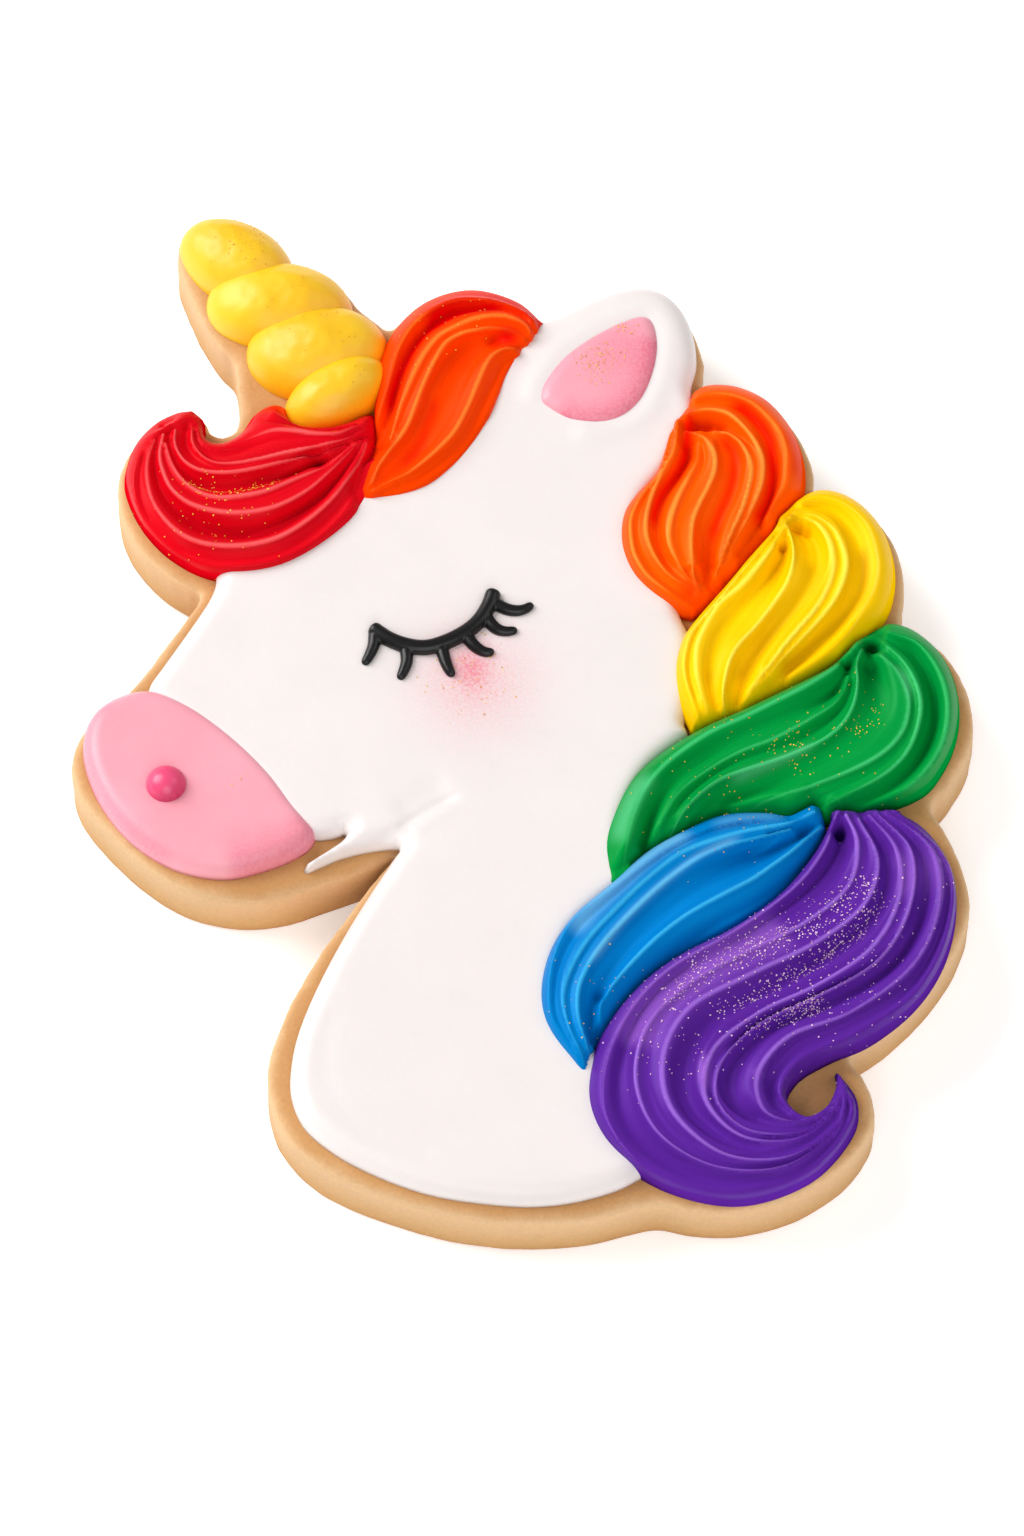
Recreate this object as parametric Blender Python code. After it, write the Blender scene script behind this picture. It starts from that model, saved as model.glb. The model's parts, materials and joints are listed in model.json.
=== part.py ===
"""Iced sugar cookie cut as a unicorn's head in profile, facing left, lying flat with its icing up.

A rolled biscuit carries a white flood for the head and neck, a pink one for the muzzle, a pink inner ear,
a piped black eyelash, a horn of four yellow beads, and seven piped lobes of forelock and mane.
The drawing below is in millimetres, seen from above, with x to the right and y towards the ear.
"""

import bmesh
import bpy
import numpy as np

MM = 0.001

# Driving sizes, in millimetres
BISCUIT_THICK = 6.7
BISCUIT_ROUND = 1.1
GAP = 0.3
ICING_LOW = BISCUIT_THICK + GAP
WHITE_HIGH = 1.6
PINK_HIGH = 1.8
FLOOD_ROUND = 0.4
OUTLINE_STEP = 2.3
LASH_ROUND = 0.65
NOSTRIL_RADIUS = 1.87
NOSTRIL_HIGH = 1.7
BEAD_HIGH = 4.0
END_ROUND = 1.8
VALLEY_SHARE = 0.5
VALLEY_MOST = 1.9
CUTTER_HIGH = 20.0

# The biscuit, clockwise from the throat: muzzle, forehead, forelock, horn, ear, mane, neck
BISCUIT = [
    (-11.4, -14.2), (-14, -15.6), (-17.5, -17), (-21.5, -18.4), (-25.5, -18.7), (-30, -17.6), (-34, -15),
    (-37.5, -11.4), (-39.9, -8), (-40.6, -5), (-39.8, -2.1), (-37.9, 0.3), (-36, 2.1), (-34.3, 4.2),
    (-32.3, 7.2), (-30.6, 9.8), (-29.3, 12.2),
    (-30.4, 13.1), (-32.2, 14.3), (-34.2, 16.2), (-35.8, 18.6), (-36.8, 21.3), (-37, 24), (-36.2, 26.8),
    (-34.4, 29.2), (-32.2, 30.7), (-30.3, 31), (-29.1, 30.4), (-28.6, 29.4), (-27.6, 28.9), (-26.4, 29.5),
    (-26, 31.2), (-26.2, 34), (-26.6, 36.6),
    (-27.9, 38.2), (-29.6, 41), (-31, 44.3), (-32, 47.4), (-31.6, 50.1), (-29.8, 51.6), (-27.2, 51.6),
    (-24.3, 50.3), (-22.3, 48.6), (-21, 47), (-19, 46.4), (-16.7, 44.7), (-15, 42.4), (-13.6, 41.2),
    (-12.3, 40.2), (-10.9, 41.3), (-8.4, 43), (-5, 43.9), (-1.8, 43.3), (0.5, 41.7), (1.8, 40.5),
    (3.6, 41.4), (6.3, 43.1), (9.3, 44.1), (12.2, 43.9), (14.4, 42.3), (15.9, 39.9), (16.8, 36.9), (16.8, 34.2),
    (18.6, 34), (21.6, 33), (24.2, 30.8), (25.9, 28), (26.7, 25.2), (26.8, 23),
    (28.7, 22.8), (31.2, 21.5), (33.4, 19), (34.6, 15.8), (34.8, 12.4), (34.5, 9.2),
    (36.7, 8), (39, 5.4), (40.4, 2.2), (40.8, -1.1), (40.1, -4.2), (38.5, -7.1), (36.9, -9.4),
    (38.1, -11.9), (39.5, -15.6), (40, -19.4), (38.9, -23.1), (37, -26.3), (34.8, -29.1), (32.2, -31.6),
    (29.2, -34), (30.2, -36), (31, -38.2), (31, -40.6), (29.6, -43.2), (27.5, -45.3), (25, -47), (22, -48.3),
    (18.5, -49), (15, -48.9), (12, -48.3),
    (9.4, -48.8), (6, -49.7), (2, -50.1), (-2, -50), (-6, -49.4), (-10, -48.3), (-14, -46.8), (-17.5, -45),
    (-20, -42.8), (-21.7, -40.2), (-22.5, -37), (-22.3, -34), (-21, -29.8), (-19.2, -26), (-17, -22.2),
    (-14.6, -18.6), (-12.6, -15.8),
]

# The white flood: forehead, the side under the forelock, ear, the side under the mane, neck, throat, chin
WHITE = [
    (-33.7, 2.2), (-32.5, 4.3), (-31.2, 6.4), (-29.8, 8.7), (-28.5, 11), (-27.9, 12.6), (-27.7, 14.2),
    (-26.5, 16.5), (-20, 20), (-14.8, 24.6), (-11, 27.5), (-7, 32), (-3.5, 37), (0.2, 39.6),
    (2.6, 40.5), (5.2, 42), (8.2, 43.4), (11, 43.9), (13.4, 43.1), (15, 41.2), (15.9, 38.6), (16.1, 35.8),
    (15.6, 33), (16.2, 30), (14.6, 25.4), (11.5, 21), (11.5, 16), (14.2, 11.6), (14.4, 9.5), (15.8, 6),
    (15.8, 2.5), (14.7, -1.3), (14.9, -3), (11.5, -6.5), (9.5, -11), (9.5, -15), (10, -17.5), (6, -21.5),
    (4.2, -25.5), (4, -30), (6.2, -33.5), (8, -36), (8.2, -39.5), (10.3, -43), (12, -45.2),
    (10.6, -46.1), (8, -47.5), (4, -48.6), (0, -48.9), (-5, -48.4), (-9, -47.5), (-13, -45.9),
    (-16.5, -43.9), (-19.2, -41.4), (-20.4, -38.4), (-20.4, -35.2), (-19.7, -31.8), (-18.1, -27.5),
    (-15.9, -22.8), (-13.6, -18.6), (-11.7, -15.4), (-11, -14), (-13.2, -14.1), (-16, -14.8), (-18.2, -15.8),
    (-19.3, -16.3), (-19.5, -15.8), (-18.5, -15), (-17.1, -14), (-16.1, -13.2), (-15.5, -12.3), (-17, -12.5),
    (-18.6, -12.7), (-20.5, -11), (-22, -8), (-25, -4.6), (-29.5, -0.6), (-33, 1),
]

MUZZLE = [
    (-33.4, 1.7), (-29.6, 0.1), (-25.8, -2.9), (-22.6, -6.3), (-20.3, -9.6), (-19, -11.5), (-18.5, -12.7),
    (-19.3, -14.2), (-22.2, -15.8), (-26.5, -16.9), (-31, -16), (-35, -13.3), (-38, -9.3), (-39.5, -4.8),
    (-39, -1.2), (-36.7, 1),
]

EAR = [
    (1.6, 31.4), (2, 33.2), (3.8, 35.8), (6.3, 37.9), (9, 39.5), (11.1, 40.2), (12.2, 39.4), (12.6, 37),
    (12.2, 34.2), (11.1, 31.4), (9.3, 29.5), (7, 28.8), (4.4, 29.2), (2.4, 30.4),
]

NOSTRIL = (-31.9, -8.4)

# Horn beads from tip to root: centre, half length, half width, turn in degrees
HORN = [
    ((-26.4, 46.6), 5.9, 4.0, -35),
    ((-22.3, 41.9), 6.8, 4.5, -6),
    ((-18.9, 37.1), 6.6, 4.9, 5),
    ((-16.9, 32.5), 5.4, 3.3, 33),
]

# Eyelash strokes: the lid's arc, then its six lashes
LASHES = [
    [(-13.7, 7.6), (-12.1, 6.4), (-10.4, 5.7), (-8.7, 5.5), (-7, 6), (-5.2, 7), (-3.9, 8.2), (-3, 9.8), (-2.5, 11.4)],
    [(-13.3, 7.1), (-13.4, 5.8), (-13.8, 4.7), (-14.3, 3.8)],
    [(-10.5, 5.6), (-10.4, 4.2), (-10.7, 3.1), (-11.1, 2.3)],
    [(-7.3, 5.8), (-7, 4.4), (-6.6, 3.3), (-6.2, 2.6)],
    [(-5.1, 6.8), (-4.3, 5.7), (-3.4, 5.1), (-2.5, 5.1)],
    [(-3.4, 8.8), (-2.5, 7.6), (-1.6, 7.2), (-0.4, 7.3)],
    [(-2.7, 10.2), (-1.5, 9.5), (-0.5, 9.3), (0.3, 9.5), (1, 10)],
]

# Piped lobes. Each is a ribbon between a left and a right edge whose points face each other, from its root
# to its tip. Ridges run along it at shares of its width, given at the root, on the way and at the tip.
LOBES = {
    "forelock_red": dict(
        colour=(0.72, 0.0, 0.02), crest=3.4, rows=18, under=["forelock_orange", "horn_3", "horn_4"],
        left=[(-13.6, 30.6), (-16.5, 30.5), (-20, 30.9), (-22.6, 31.3), (-24.6, 30.3), (-25.8, 28.4), (-27, 27.4), (-28.2, 27.2), (-29, 27.8), (-29, 28.8), (-29.1, 29.7)],
        right=[(-12.9, 29.3), (-13.4, 23.8), (-16.6, 17.8), (-21.8, 14), (-27.5, 13.4), (-31.6, 15.3), (-34.6, 18.6), (-36.3, 22.6), (-36.1, 25.4), (-35.2, 27.6), (-33.6, 29.5), (-31.8, 30.5), (-30.2, 30.8)],
        ridges=[(0.18, 0.18, 0.18, 0.2), (0.35, 0.36, 0.38, 0.4), (0.62, 0.64, 0.64, 0.62), (0.88, 0.88, 0.85, 0.82)]),
    "forelock_orange": dict(
        colour=(1.0, 0.1, 0.0), crest=3.4, rows=16, under=[],
        left=[(2.2, 39.7), (-0.4, 42.3), (-4.6, 43.6), (-8.9, 42.3), (-11.9, 39.1), (-13.4, 35), (-13.6, 31), (-13.5, 27.5), (-14.4, 24.5), (-15.1, 21.7)],
        right=[(0.9, 37.7), (-0.3, 36.1), (-1.2, 34), (-2, 31.8), (-2.9, 29.4), (-4.3, 26.8), (-6.1, 24.4), (-8.4, 22.4), (-11, 21.3), (-14.6, 20.6)],
        ridges=[(0.1, 0.12, 0.14), (0.32, 0.34, 0.36), (0.52, 0.52, 0.54), (0.72, 0.74, 0.74), (0.92, 0.93, 0.92)]),
    "mane_orange": dict(
        colour=(1.0, 0.13, 0.0), crest=3.4, rows=16, under=["mane_yellow"],
        left=[(15.2, 31), (14, 29.6), (13.4, 28), (12.9, 26), (12.1, 23.8), (10.4, 21.8), (9.2, 19.9), (8.8, 17.5), (9.1, 15.3), (10.2, 12.9), (12.3, 10.7), (14.3, 9.6), (15.4, 9.3)],
        right=[(15.6, 32.5), (16.7, 33.3), (18.2, 33.5), (20.3, 33.1), (22.7, 31.7), (24.5, 29.4), (25.6, 26.8), (26, 24), (25.6, 21), (24.4, 18.6), (22.1, 15.7), (19.1, 12.5), (17, 10.3)],
        ridges=[(0.12, 0.11, 0.12), (0.3, 0.27, 0.3), (0.5, 0.46, 0.5), (0.68, 0.69, 0.68), (0.9, 0.9, 0.9)]),
    "mane_yellow": dict(
        colour=(1.0, 0.6, 0.0), crest=3.5, rows=16, under=["mane_green"],
        left=[(24.2, 20.3), (23.4, 19.4), (22.9, 18.1), (20.9, 15.6), (18.8, 12.7), (16.9, 10.3), (15.1, 7.9), (14.1, 5.8), (13.7, 3.4), (14, 0.4), (15.3, -2.6)],
        right=[(24.9, 21), (26, 21.9), (27.4, 22.4), (29.3, 22), (31.3, 20.6), (33, 18.2), (33.9, 15.2), (33.9, 12.2), (33, 9.2), (30.6, 6.1), (26.5, 2.6), (21.2, -0.4), (16.4, -2.6)],
        ridges=[(0.12, 0.12, 0.12), (0.36, 0.36, 0.36), (0.62, 0.62, 0.62), (0.9, 0.9, 0.9)]),
    "mane_green": dict(
        colour=(0.0, 0.3, 0.05), crest=3.6, rows=18, under=["mane_blue", "mane_purple"],
        left=[(30.5, 6.9), (29.5, 5.8), (27.6, 3.7), (24.6, 2), (20.2, -0.3), (16.2, -2.3), (12.6, -4.6), (9.9, -7.2), (8, -10.9), (7.1, -14.2), (7.6, -18.2)],
        right=[(31.9, 7.9), (33.5, 8.6), (35.7, 7.8), (38.2, 5.1), (39.4, 1.4), (39.3, -2.4), (38, -6), (35.6, -8.9), (30, -11), (23.5, -12.2), (17, -14), (12.2, -16.5), (8.5, -18.6)],
        ridges=[(0.14, 0.13, 0.14), (0.34, 0.46, 0.46), (0.62, 0.73, 0.7), (0.78, 0.85, 0.82), (0.93, 0.95, 0.94)]),
    "mane_blue": dict(
        colour=(0.0, 0.2, 0.6), crest=3.5, rows=18, under=["mane_purple"],
        left=[(26, -9.9), (24, -10.9), (22, -10.6), (18.4, -10.7), (15.3, -11.9), (11, -14.6), (7.7, -18), (4.4, -21.3), (2.2, -25), (1.4, -29.3), (2.4, -32.9), (5.1, -36.6)],
        right=[(26.9, -10.4), (27.2, -13.2), (25.1, -17.1), (22.1, -20.6), (18.7, -23.1), (15.3, -25.2), (12.4, -27.5), (9.9, -30.1), (8, -33), (6.7, -35.4), (5.6, -37.1)],
        ridges=[(0.14, 0.14, 0.14), (0.38, 0.38, 0.38), (0.6, 0.6, 0.6), (0.84, 0.84, 0.84)]),
    "mane_purple": dict(
        colour=(0.11, 0.02, 0.38), crest=3.7, rows=28, under=[],
        left=[(27.9, -10.8), (27, -13.1), (25.4, -15.8), (22.6, -19.3), (18.9, -22.2), (14.6, -24.5), (10.8, -27.4),
              (7.7, -31.3), (5.9, -35.6), (5.7, -39.9), (7.9, -44.1), (12.8, -47.5), (19.2, -48.8), (25.3, -46.6),
              (29, -42.4), (29.6, -39), (27.9, -36.3)],
        right=[(33.4, -10.5), (36.3, -12.5), (38.4, -16.4), (38.7, -20.8), (37.5, -25.6), (34.9, -29.8),
               (31, -33.2), (27.3, -35), (24.6, -36.7), (23.4, -38.6), (23.9, -40), (25.2, -40.5),
               (26.5, -39.9), (27.3, -38.7), (27.7, -37.5), (27.7, -36.8), (27.6, -36.1)],
        ridges=[(0.09, 0.09, 0.09, 0.09), (0.24, 0.24, 0.22, 0.24), (0.42, 0.42, 0.38, 0.42),
                (0.68, 0.68, 0.6, 0.66), (0.9, 0.9, 0.86, 0.88)]),
}


def blend(a, b, c, d, part):
    """The Catmull-Rom curve between b and c."""
    return 0.5 * (2 * b + (c - a) * part + (2 * a - 5 * b + 4 * c - d) * part**2 + (3 * b - a - 3 * c + d) * part**3)


def along(values, places):
    """Values read smoothly along an open row, at places from 0 to 1."""
    row = np.asarray(values, float).reshape(len(values), -1)
    row = np.vstack([2 * row[0] - row[1], row, 2 * row[-1] - row[-2]])
    spans = len(values) - 1
    at = np.clip(np.asarray(places) * spans, 0, spans - 1e-9)
    start = at.astype(int)
    return blend(row[start], row[start + 1], row[start + 2], row[start + 3], (at - start)[:, None])


def closed_outline(points, step=OUTLINE_STEP):
    """A smooth closed outline through the points, with a corner about every step millimetres."""
    row = np.asarray(points, float)
    parts = np.arange(12) / 12
    spans = [np.roll(row, shift, axis=0) for shift in (1, 0, -1, -2)]
    fine = np.concatenate([blend(*corners, parts[:, None]) for corners in zip(*spans)])
    lengths = np.linalg.norm(np.roll(fine, -1, axis=0) - fine, axis=1)
    reach = np.concatenate([[0], np.cumsum(lengths)])
    wanted = np.linspace(0, reach[-1], int(reach[-1] / step), endpoint=False)
    looped = np.vstack([fine, fine[:1]])
    return np.column_stack([np.interp(wanted, reach, looped[:, axis]) for axis in (0, 1)])


def grown(outline, distance):
    """The outline moved out by a distance, whichever way round it runs."""
    ahead = np.roll(outline, -1, axis=0)
    area = np.sum(outline[:, 0] * ahead[:, 1] - ahead[:, 0] * outline[:, 1])
    tangent = ahead - np.roll(outline, 1, axis=0)
    tangent /= np.linalg.norm(tangent, axis=1)[:, None]
    outward = np.column_stack([tangent[:, 1], -tangent[:, 0]])
    return outline + np.sign(area) * distance * outward


SMOOTH_BISCUIT = closed_outline(BISCUIT)
CENTRE = (SMOOTH_BISCUIT.min(axis=0) + SMOOTH_BISCUIT.max(axis=0)) / 2


def in_place(points):
    """Drawing millimetres to metres, with the biscuit's middle at the origin."""
    placed = np.array(points, float)
    placed[:, :2] -= CENTRE
    return placed * MM


def icing(name, colour, roughness=0.35):
    """A Principled material for baked dough or set icing."""
    material = bpy.data.materials.new(name)
    material.use_nodes = True
    shader = material.node_tree.nodes["Principled BSDF"]
    shader.inputs["Base Color"].default_value = (*colour, 1)
    shader.inputs["Roughness"].default_value = roughness
    return material


def collection(name):
    """A new collection in the scene."""
    made = bpy.data.collections.new(name)
    bpy.context.scene.collection.children.link(made)
    return made


def add_object(name, mesh, home, material=None):
    """An object for the mesh, in its collection."""
    made = bpy.data.objects.new(name, mesh)
    home.objects.link(made)
    if material:
        mesh.materials.append(material)
    return made


def from_bmesh(name, built):
    """The finished mesh, its faces turned outwards."""
    bmesh.ops.recalc_face_normals(built, faces=built.faces)
    mesh = bpy.data.meshes.new(name)
    built.to_mesh(mesh)
    built.free()
    return mesh


def slab(name, outline, low, high, rounding=0.0):
    """A flat slab of the outline, from low to high, its upper rim rounded."""
    curve = bpy.data.curves.new(name, "CURVE")
    curve.dimensions = "2D"
    curve.fill_mode = "BOTH"
    curve.extrude = (high - low) / 2 * MM
    rim = curve.splines.new("POLY")
    rim.points.add(len(outline) - 1)
    rim.use_cyclic_u = True
    for point, (x, y) in zip(rim.points, in_place(outline)):
        point.co = (x, y, 0, 1)
    guide = bpy.data.objects.new(name, curve)
    bpy.context.scene.collection.objects.link(guide)
    raw = bpy.data.meshes.new_from_object(guide.evaluated_get(bpy.context.evaluated_depsgraph_get()))
    bpy.data.objects.remove(guide)
    built = bmesh.new()
    built.from_mesh(raw)
    bpy.data.meshes.remove(raw)
    bmesh.ops.remove_doubles(built, verts=built.verts, dist=0.00001)
    bmesh.ops.dissolve_limit(built, angle_limit=0.01, verts=built.verts, edges=built.edges)
    bmesh.ops.translate(built, verts=built.verts, vec=(0, 0, (low + high) / 2 * MM))
    if rounding:
        top = [edge for edge in built.edges if min(v.co.z for v in edge.verts) > (high - 0.01) * MM]
        bmesh.ops.bevel(built, geom=top, offset=rounding * MM, segments=2, affect="EDGES", profile=0.5)
    return from_bmesh(name, built)


def dome(name, centre, half_length, half_width, high, turn=0.0):
    """A bead of icing: the upper half of an ellipsoid, flat below."""
    built = bmesh.new()
    bmesh.ops.create_uvsphere(built, u_segments=20, v_segments=10, radius=1)
    bmesh.ops.delete(built, geom=[vert for vert in built.verts if vert.co.z < -0.01], context="VERTS")
    bmesh.ops.holes_fill(built, edges=built.edges)
    angle = np.radians(turn)
    for vert in built.verts:
        x, y = vert.co.x * half_length, vert.co.y * half_width
        drawn = (centre[0] + x * np.cos(angle) - y * np.sin(angle), centre[1] + x * np.sin(angle) + y * np.cos(angle))
        vert.co = in_place([(*drawn, ICING_LOW + high * vert.co.z)])[0]
    return from_bmesh(name, built)


def oval(centre, half_length, half_width, turn, corners=24):
    """The outline of a turned ellipse."""
    angle, around = np.radians(turn), np.linspace(0, 2 * np.pi, corners, endpoint=False)
    x, y = half_length * np.cos(around), half_width * np.sin(around)
    return np.column_stack([centre[0] + x * np.cos(angle) - y * np.sin(angle), centre[1] + x * np.sin(angle) + y * np.cos(angle)])


def ridge_profile(shares, width, crest, steps=2):
    """Places across the ribbon and heights there, from the left edge over each ridge to the right edge.

    Every flank is a quarter of an ellipse: upright at the edges and in the valleys, level at the crests."""
    angles = np.linspace(0, np.pi / 2, steps + 1)
    flank = [(np.sin(angle), np.cos(angle)) for angle in angles]
    columns = [(shares[0] * (1 - out), crest * up) for out, up in flank[::-1]]
    for first, second in zip(shares, shares[1:]):
        middle = (first + second) / 2
        deep = np.minimum(VALLEY_SHARE * (second - first) * width, VALLEY_MOST)
        columns += [(first + (middle - first) * out, crest - deep * (1 - up)) for out, up in flank[1:]]
        columns += [(second - (second - middle) * out, crest - deep * (1 - up)) for out, up in flank[-2::-1]]
    columns += [(shares[-1] + (1 - shares[-1]) * out, crest * up) for out, up in flank[1:]]
    return columns


def lobe_rows(count):
    """Places from root to tip, closer together at both ends."""
    even = np.linspace(0, 1, count + 1)
    return (even + (1 - np.cos(np.pi * even)) / 2) / 2


def lobe(name, left, right, ridges, crest, rows):
    """A piped lobe: the ridged sheet between its two edges, rounded down at root and tip, and flat below."""
    places = lobe_rows(rows)
    near, far = along(left, places), along(right, places)
    width = np.linalg.norm(far - near, axis=1)
    middle = (near + far) / 2
    reach = np.concatenate([[0], np.cumsum(np.linalg.norm(np.diff(middle, axis=0), axis=1))])
    to_end = np.clip(np.minimum(reach, reach[-1] - reach) / END_ROUND, 0, 1)
    rise = np.sqrt(1 - (1 - to_end) ** 2)
    shares = [along(ridge, places)[:, 0] for ridge in ridges]
    sheet = []
    for across, high in ridge_profile(shares, width, crest * np.ones(rows + 1)):
        plan = near + (far - near) * np.asarray(across)[:, None]
        sheet.append(in_place(np.column_stack([plan, ICING_LOW + np.asarray(high) * rise])))
    built = bmesh.new()
    grid = [[built.verts.new(point) for point in column] for column in sheet]
    for one, two in zip(grid, grid[1:]):
        for row in range(rows):
            built.faces.new((one[row], one[row + 1], two[row + 1], two[row]))
    rim = grid[0] + [column[-1] for column in grid[1:-1]] + grid[-1][::-1] + [column[0] for column in grid[-2:0:-1]]
    built.faces.new(rim)
    return from_bmesh(name, built)


def lobe_outline(left, right, **_):
    """The lobe's edge in the drawing, as one closed outline."""
    places = np.linspace(0, 1, 22)
    return np.vstack([along(left, places), along(right, places)[::-1]])


def stroke(name, points, home):
    """A piped stroke: a round tube that thins a little to its end."""
    curve = bpy.data.curves.new(name, "CURVE")
    curve.dimensions = "3D"
    curve.bevel_depth = LASH_ROUND * MM
    curve.bevel_resolution = 1
    curve.use_fill_caps = True
    line = curve.splines.new("POLY")
    places = np.linspace(0, 1, 2 * len(points) - 1)
    plan = along(points, places)
    heights = np.full(len(plan), ICING_LOW + WHITE_HIGH + GAP + LASH_ROUND)
    line.points.add(len(plan) - 1)
    for point, (x, y, z), place in zip(line.points, in_place(np.column_stack([plan, heights])), places):
        point.co = (x, y, z, 1)
        point.radius = 1.0 - 0.25 * place
    guide = bpy.data.objects.new(name, curve)
    bpy.context.scene.collection.objects.link(guide)
    mesh = bpy.data.meshes.new_from_object(guide.evaluated_get(bpy.context.evaluated_depsgraph_get()))
    bpy.data.objects.remove(guide)
    built = bmesh.new()
    built.from_mesh(mesh)
    bmesh.ops.remove_doubles(built, verts=built.verts, dist=0.00001)
    bpy.data.meshes.remove(mesh)
    return add_object(name, from_bmesh(name, built), home)


def add_boolean(piece, other, operation):
    """A live Boolean on the piece."""
    modifier = piece.modifiers.new(f"{operation.lower()} {other.name}", "BOOLEAN")
    modifier.operation = operation
    modifier.object = other
    modifier.solver = "EXACT"


def add_cutter(name, outline, home):
    """A tall prism of a neighbour's outline with the clearance round it, which cuts and never shows."""
    cutter = add_object(f"cutter_{name}", slab(f"cutter_{name}", grown(outline, GAP), 0, CUTTER_HIGH), home)
    hide(cutter)
    return cutter


def hide(helper):
    """Keep a helper out of the render and of the model."""
    helper.hide_render = True
    helper.display_type = "WIRE"


def build():
    """Model every piece of the cookie."""
    for old in list(bpy.data.objects):
        bpy.data.objects.remove(old)
    cookie, cutters = collection("unicorn_cookie"), collection("cutters")

    outlines = {"muzzle": closed_outline(MUZZLE), "ear_inner": closed_outline(EAR)}
    outlines.update({f"horn_{number}": oval(*bead) for number, bead in enumerate(HORN, 1)})
    outlines.update({name: lobe_outline(**shape) for name, shape in LOBES.items()})
    blades = {name: add_cutter(name, outline, cutters) for name, outline in outlines.items()}

    dough = icing("baked_sugar_dough", (0.62, 0.36, 0.16), 0.75)
    add_object("biscuit", slab("biscuit", SMOOTH_BISCUIT, 0, BISCUIT_THICK, BISCUIT_ROUND), cookie, dough)

    white_mesh = slab("white_icing", closed_outline(WHITE), ICING_LOW, ICING_LOW + WHITE_HIGH, FLOOD_ROUND)
    white = add_object("white_icing", white_mesh, cookie, icing("white_royal_icing", (0.93, 0.87, 0.85)))
    for name in ["muzzle", "ear_inner", *LOBES]:
        add_boolean(white, blades[name], "DIFFERENCE")

    pink = icing("pink_royal_icing", (1.0, 0.4, 0.5))
    for name in ("muzzle", "ear_inner"):
        mesh = slab(name, outlines[name], ICING_LOW, ICING_LOW + PINK_HIGH, FLOOD_ROUND)
        add_object(name, mesh, cookie, pink)

    deep_pink = icing("deep_pink_royal_icing", (0.8, 0.07, 0.18))
    drop = dome("nostril", NOSTRIL, NOSTRIL_RADIUS, NOSTRIL_RADIUS, NOSTRIL_HIGH)
    nostril = add_object("nostril", drop, cookie, deep_pink)
    nostril.location.z = (PINK_HIGH + GAP) * MM

    black = icing("black_royal_icing", (0.02, 0.02, 0.02), 0.3)
    strokes = [stroke(f"lash_{number}", points, cutters) for number, points in enumerate(LASHES)]
    eyelash = strokes[0]
    cutters.objects.unlink(eyelash)
    cookie.objects.link(eyelash)
    eyelash.name = "eyelash"
    eyelash.data.materials.append(black)
    for lash in strokes[1:]:
        add_boolean(eyelash, lash, "UNION")
        hide(lash)

    yellow = icing("horn_yellow_royal_icing", (0.95, 0.6, 0.01))
    for number, (centre, half_length, half_width, turn) in enumerate(HORN, 1):
        name = f"horn_{number}"
        bead = add_object(name, dome(name, centre, half_length, half_width, BEAD_HIGH, turn), cookie, yellow)
        if number < len(HORN):
            add_boolean(bead, blades[f"horn_{number + 1}"], "DIFFERENCE")
        if number > 2:
            add_boolean(bead, blades["forelock_orange"], "DIFFERENCE")

    for name, shape in LOBES.items():
        mesh = lobe(name, shape["left"], shape["right"], shape["ridges"], shape["crest"], shape["rows"])
        piped = add_object(name, mesh, cookie, icing(f"{name}_royal_icing", shape["colour"]))
        for upper in shape["under"]:
            add_boolean(piped, blades[upper], "DIFFERENCE")


build()
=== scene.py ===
"""Iced sugar cookie shaped as a unicorn's head: the looks of icing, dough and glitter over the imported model.

The plan drawings are in millimetres, seen from above: x to the right, y from the neck towards the ear.
"""

import json
from functools import partial

import bmesh
import bpy
import numpy as np
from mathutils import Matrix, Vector, noise
from mathutils.geometry import delaunay_2d_cdt


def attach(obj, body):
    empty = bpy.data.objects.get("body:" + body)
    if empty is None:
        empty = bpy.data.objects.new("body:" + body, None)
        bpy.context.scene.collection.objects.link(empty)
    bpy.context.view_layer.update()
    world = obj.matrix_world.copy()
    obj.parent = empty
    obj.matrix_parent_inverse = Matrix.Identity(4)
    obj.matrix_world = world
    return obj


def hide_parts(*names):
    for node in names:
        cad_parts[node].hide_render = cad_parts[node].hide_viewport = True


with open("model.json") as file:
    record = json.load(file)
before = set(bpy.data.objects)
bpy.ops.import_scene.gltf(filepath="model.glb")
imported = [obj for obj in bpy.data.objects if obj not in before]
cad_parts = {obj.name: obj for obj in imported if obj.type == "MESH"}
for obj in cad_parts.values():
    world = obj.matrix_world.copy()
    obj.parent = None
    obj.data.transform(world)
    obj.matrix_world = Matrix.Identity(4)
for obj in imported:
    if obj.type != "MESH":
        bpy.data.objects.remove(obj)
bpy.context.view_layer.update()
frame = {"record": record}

MM = 0.001
BISCUIT_TOP = 6.7
TOP_ROUND = 1.2  # height of the biscuit's rounded rim
WHITE_HIGH = 1.85
MUZZLE_HIGH = 2.2
EAR_HIGH = 0.95
HORN_HIGH = 4.2
SUNK = 0.3  # how far the inner ear and the nostril sink into the icing below
CROWN_WIDE = 12  # distance from its edge over which flooded icing still rises
STROKE_END = 2  # length over which a painted stroke fades at either end
BEAD_AROUND, BEAD_LEVELS = 96, 32
LOBE_STEP = 0.19  # distance between the points of a piped lobe's sheet
LOBE_RINGS, LOBE_CORE = (0.03, 0.1, 0.2, 0.34, 0.5), 0.62  # depths of its edge's rings and of its honeycomb
FLOOD_RINGS, FLOOD_CORE = (0.03, 0.1, 0.22, 0.4, 0.62, 0.9, 1.2, 1.6), 1.85  # the same for flooded icing
RIM = 0.8  # a lobe's least height, and the width over which its rim rounds up to it
STEEPEST = 1.35  # fall of a valley's side over its width
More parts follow.
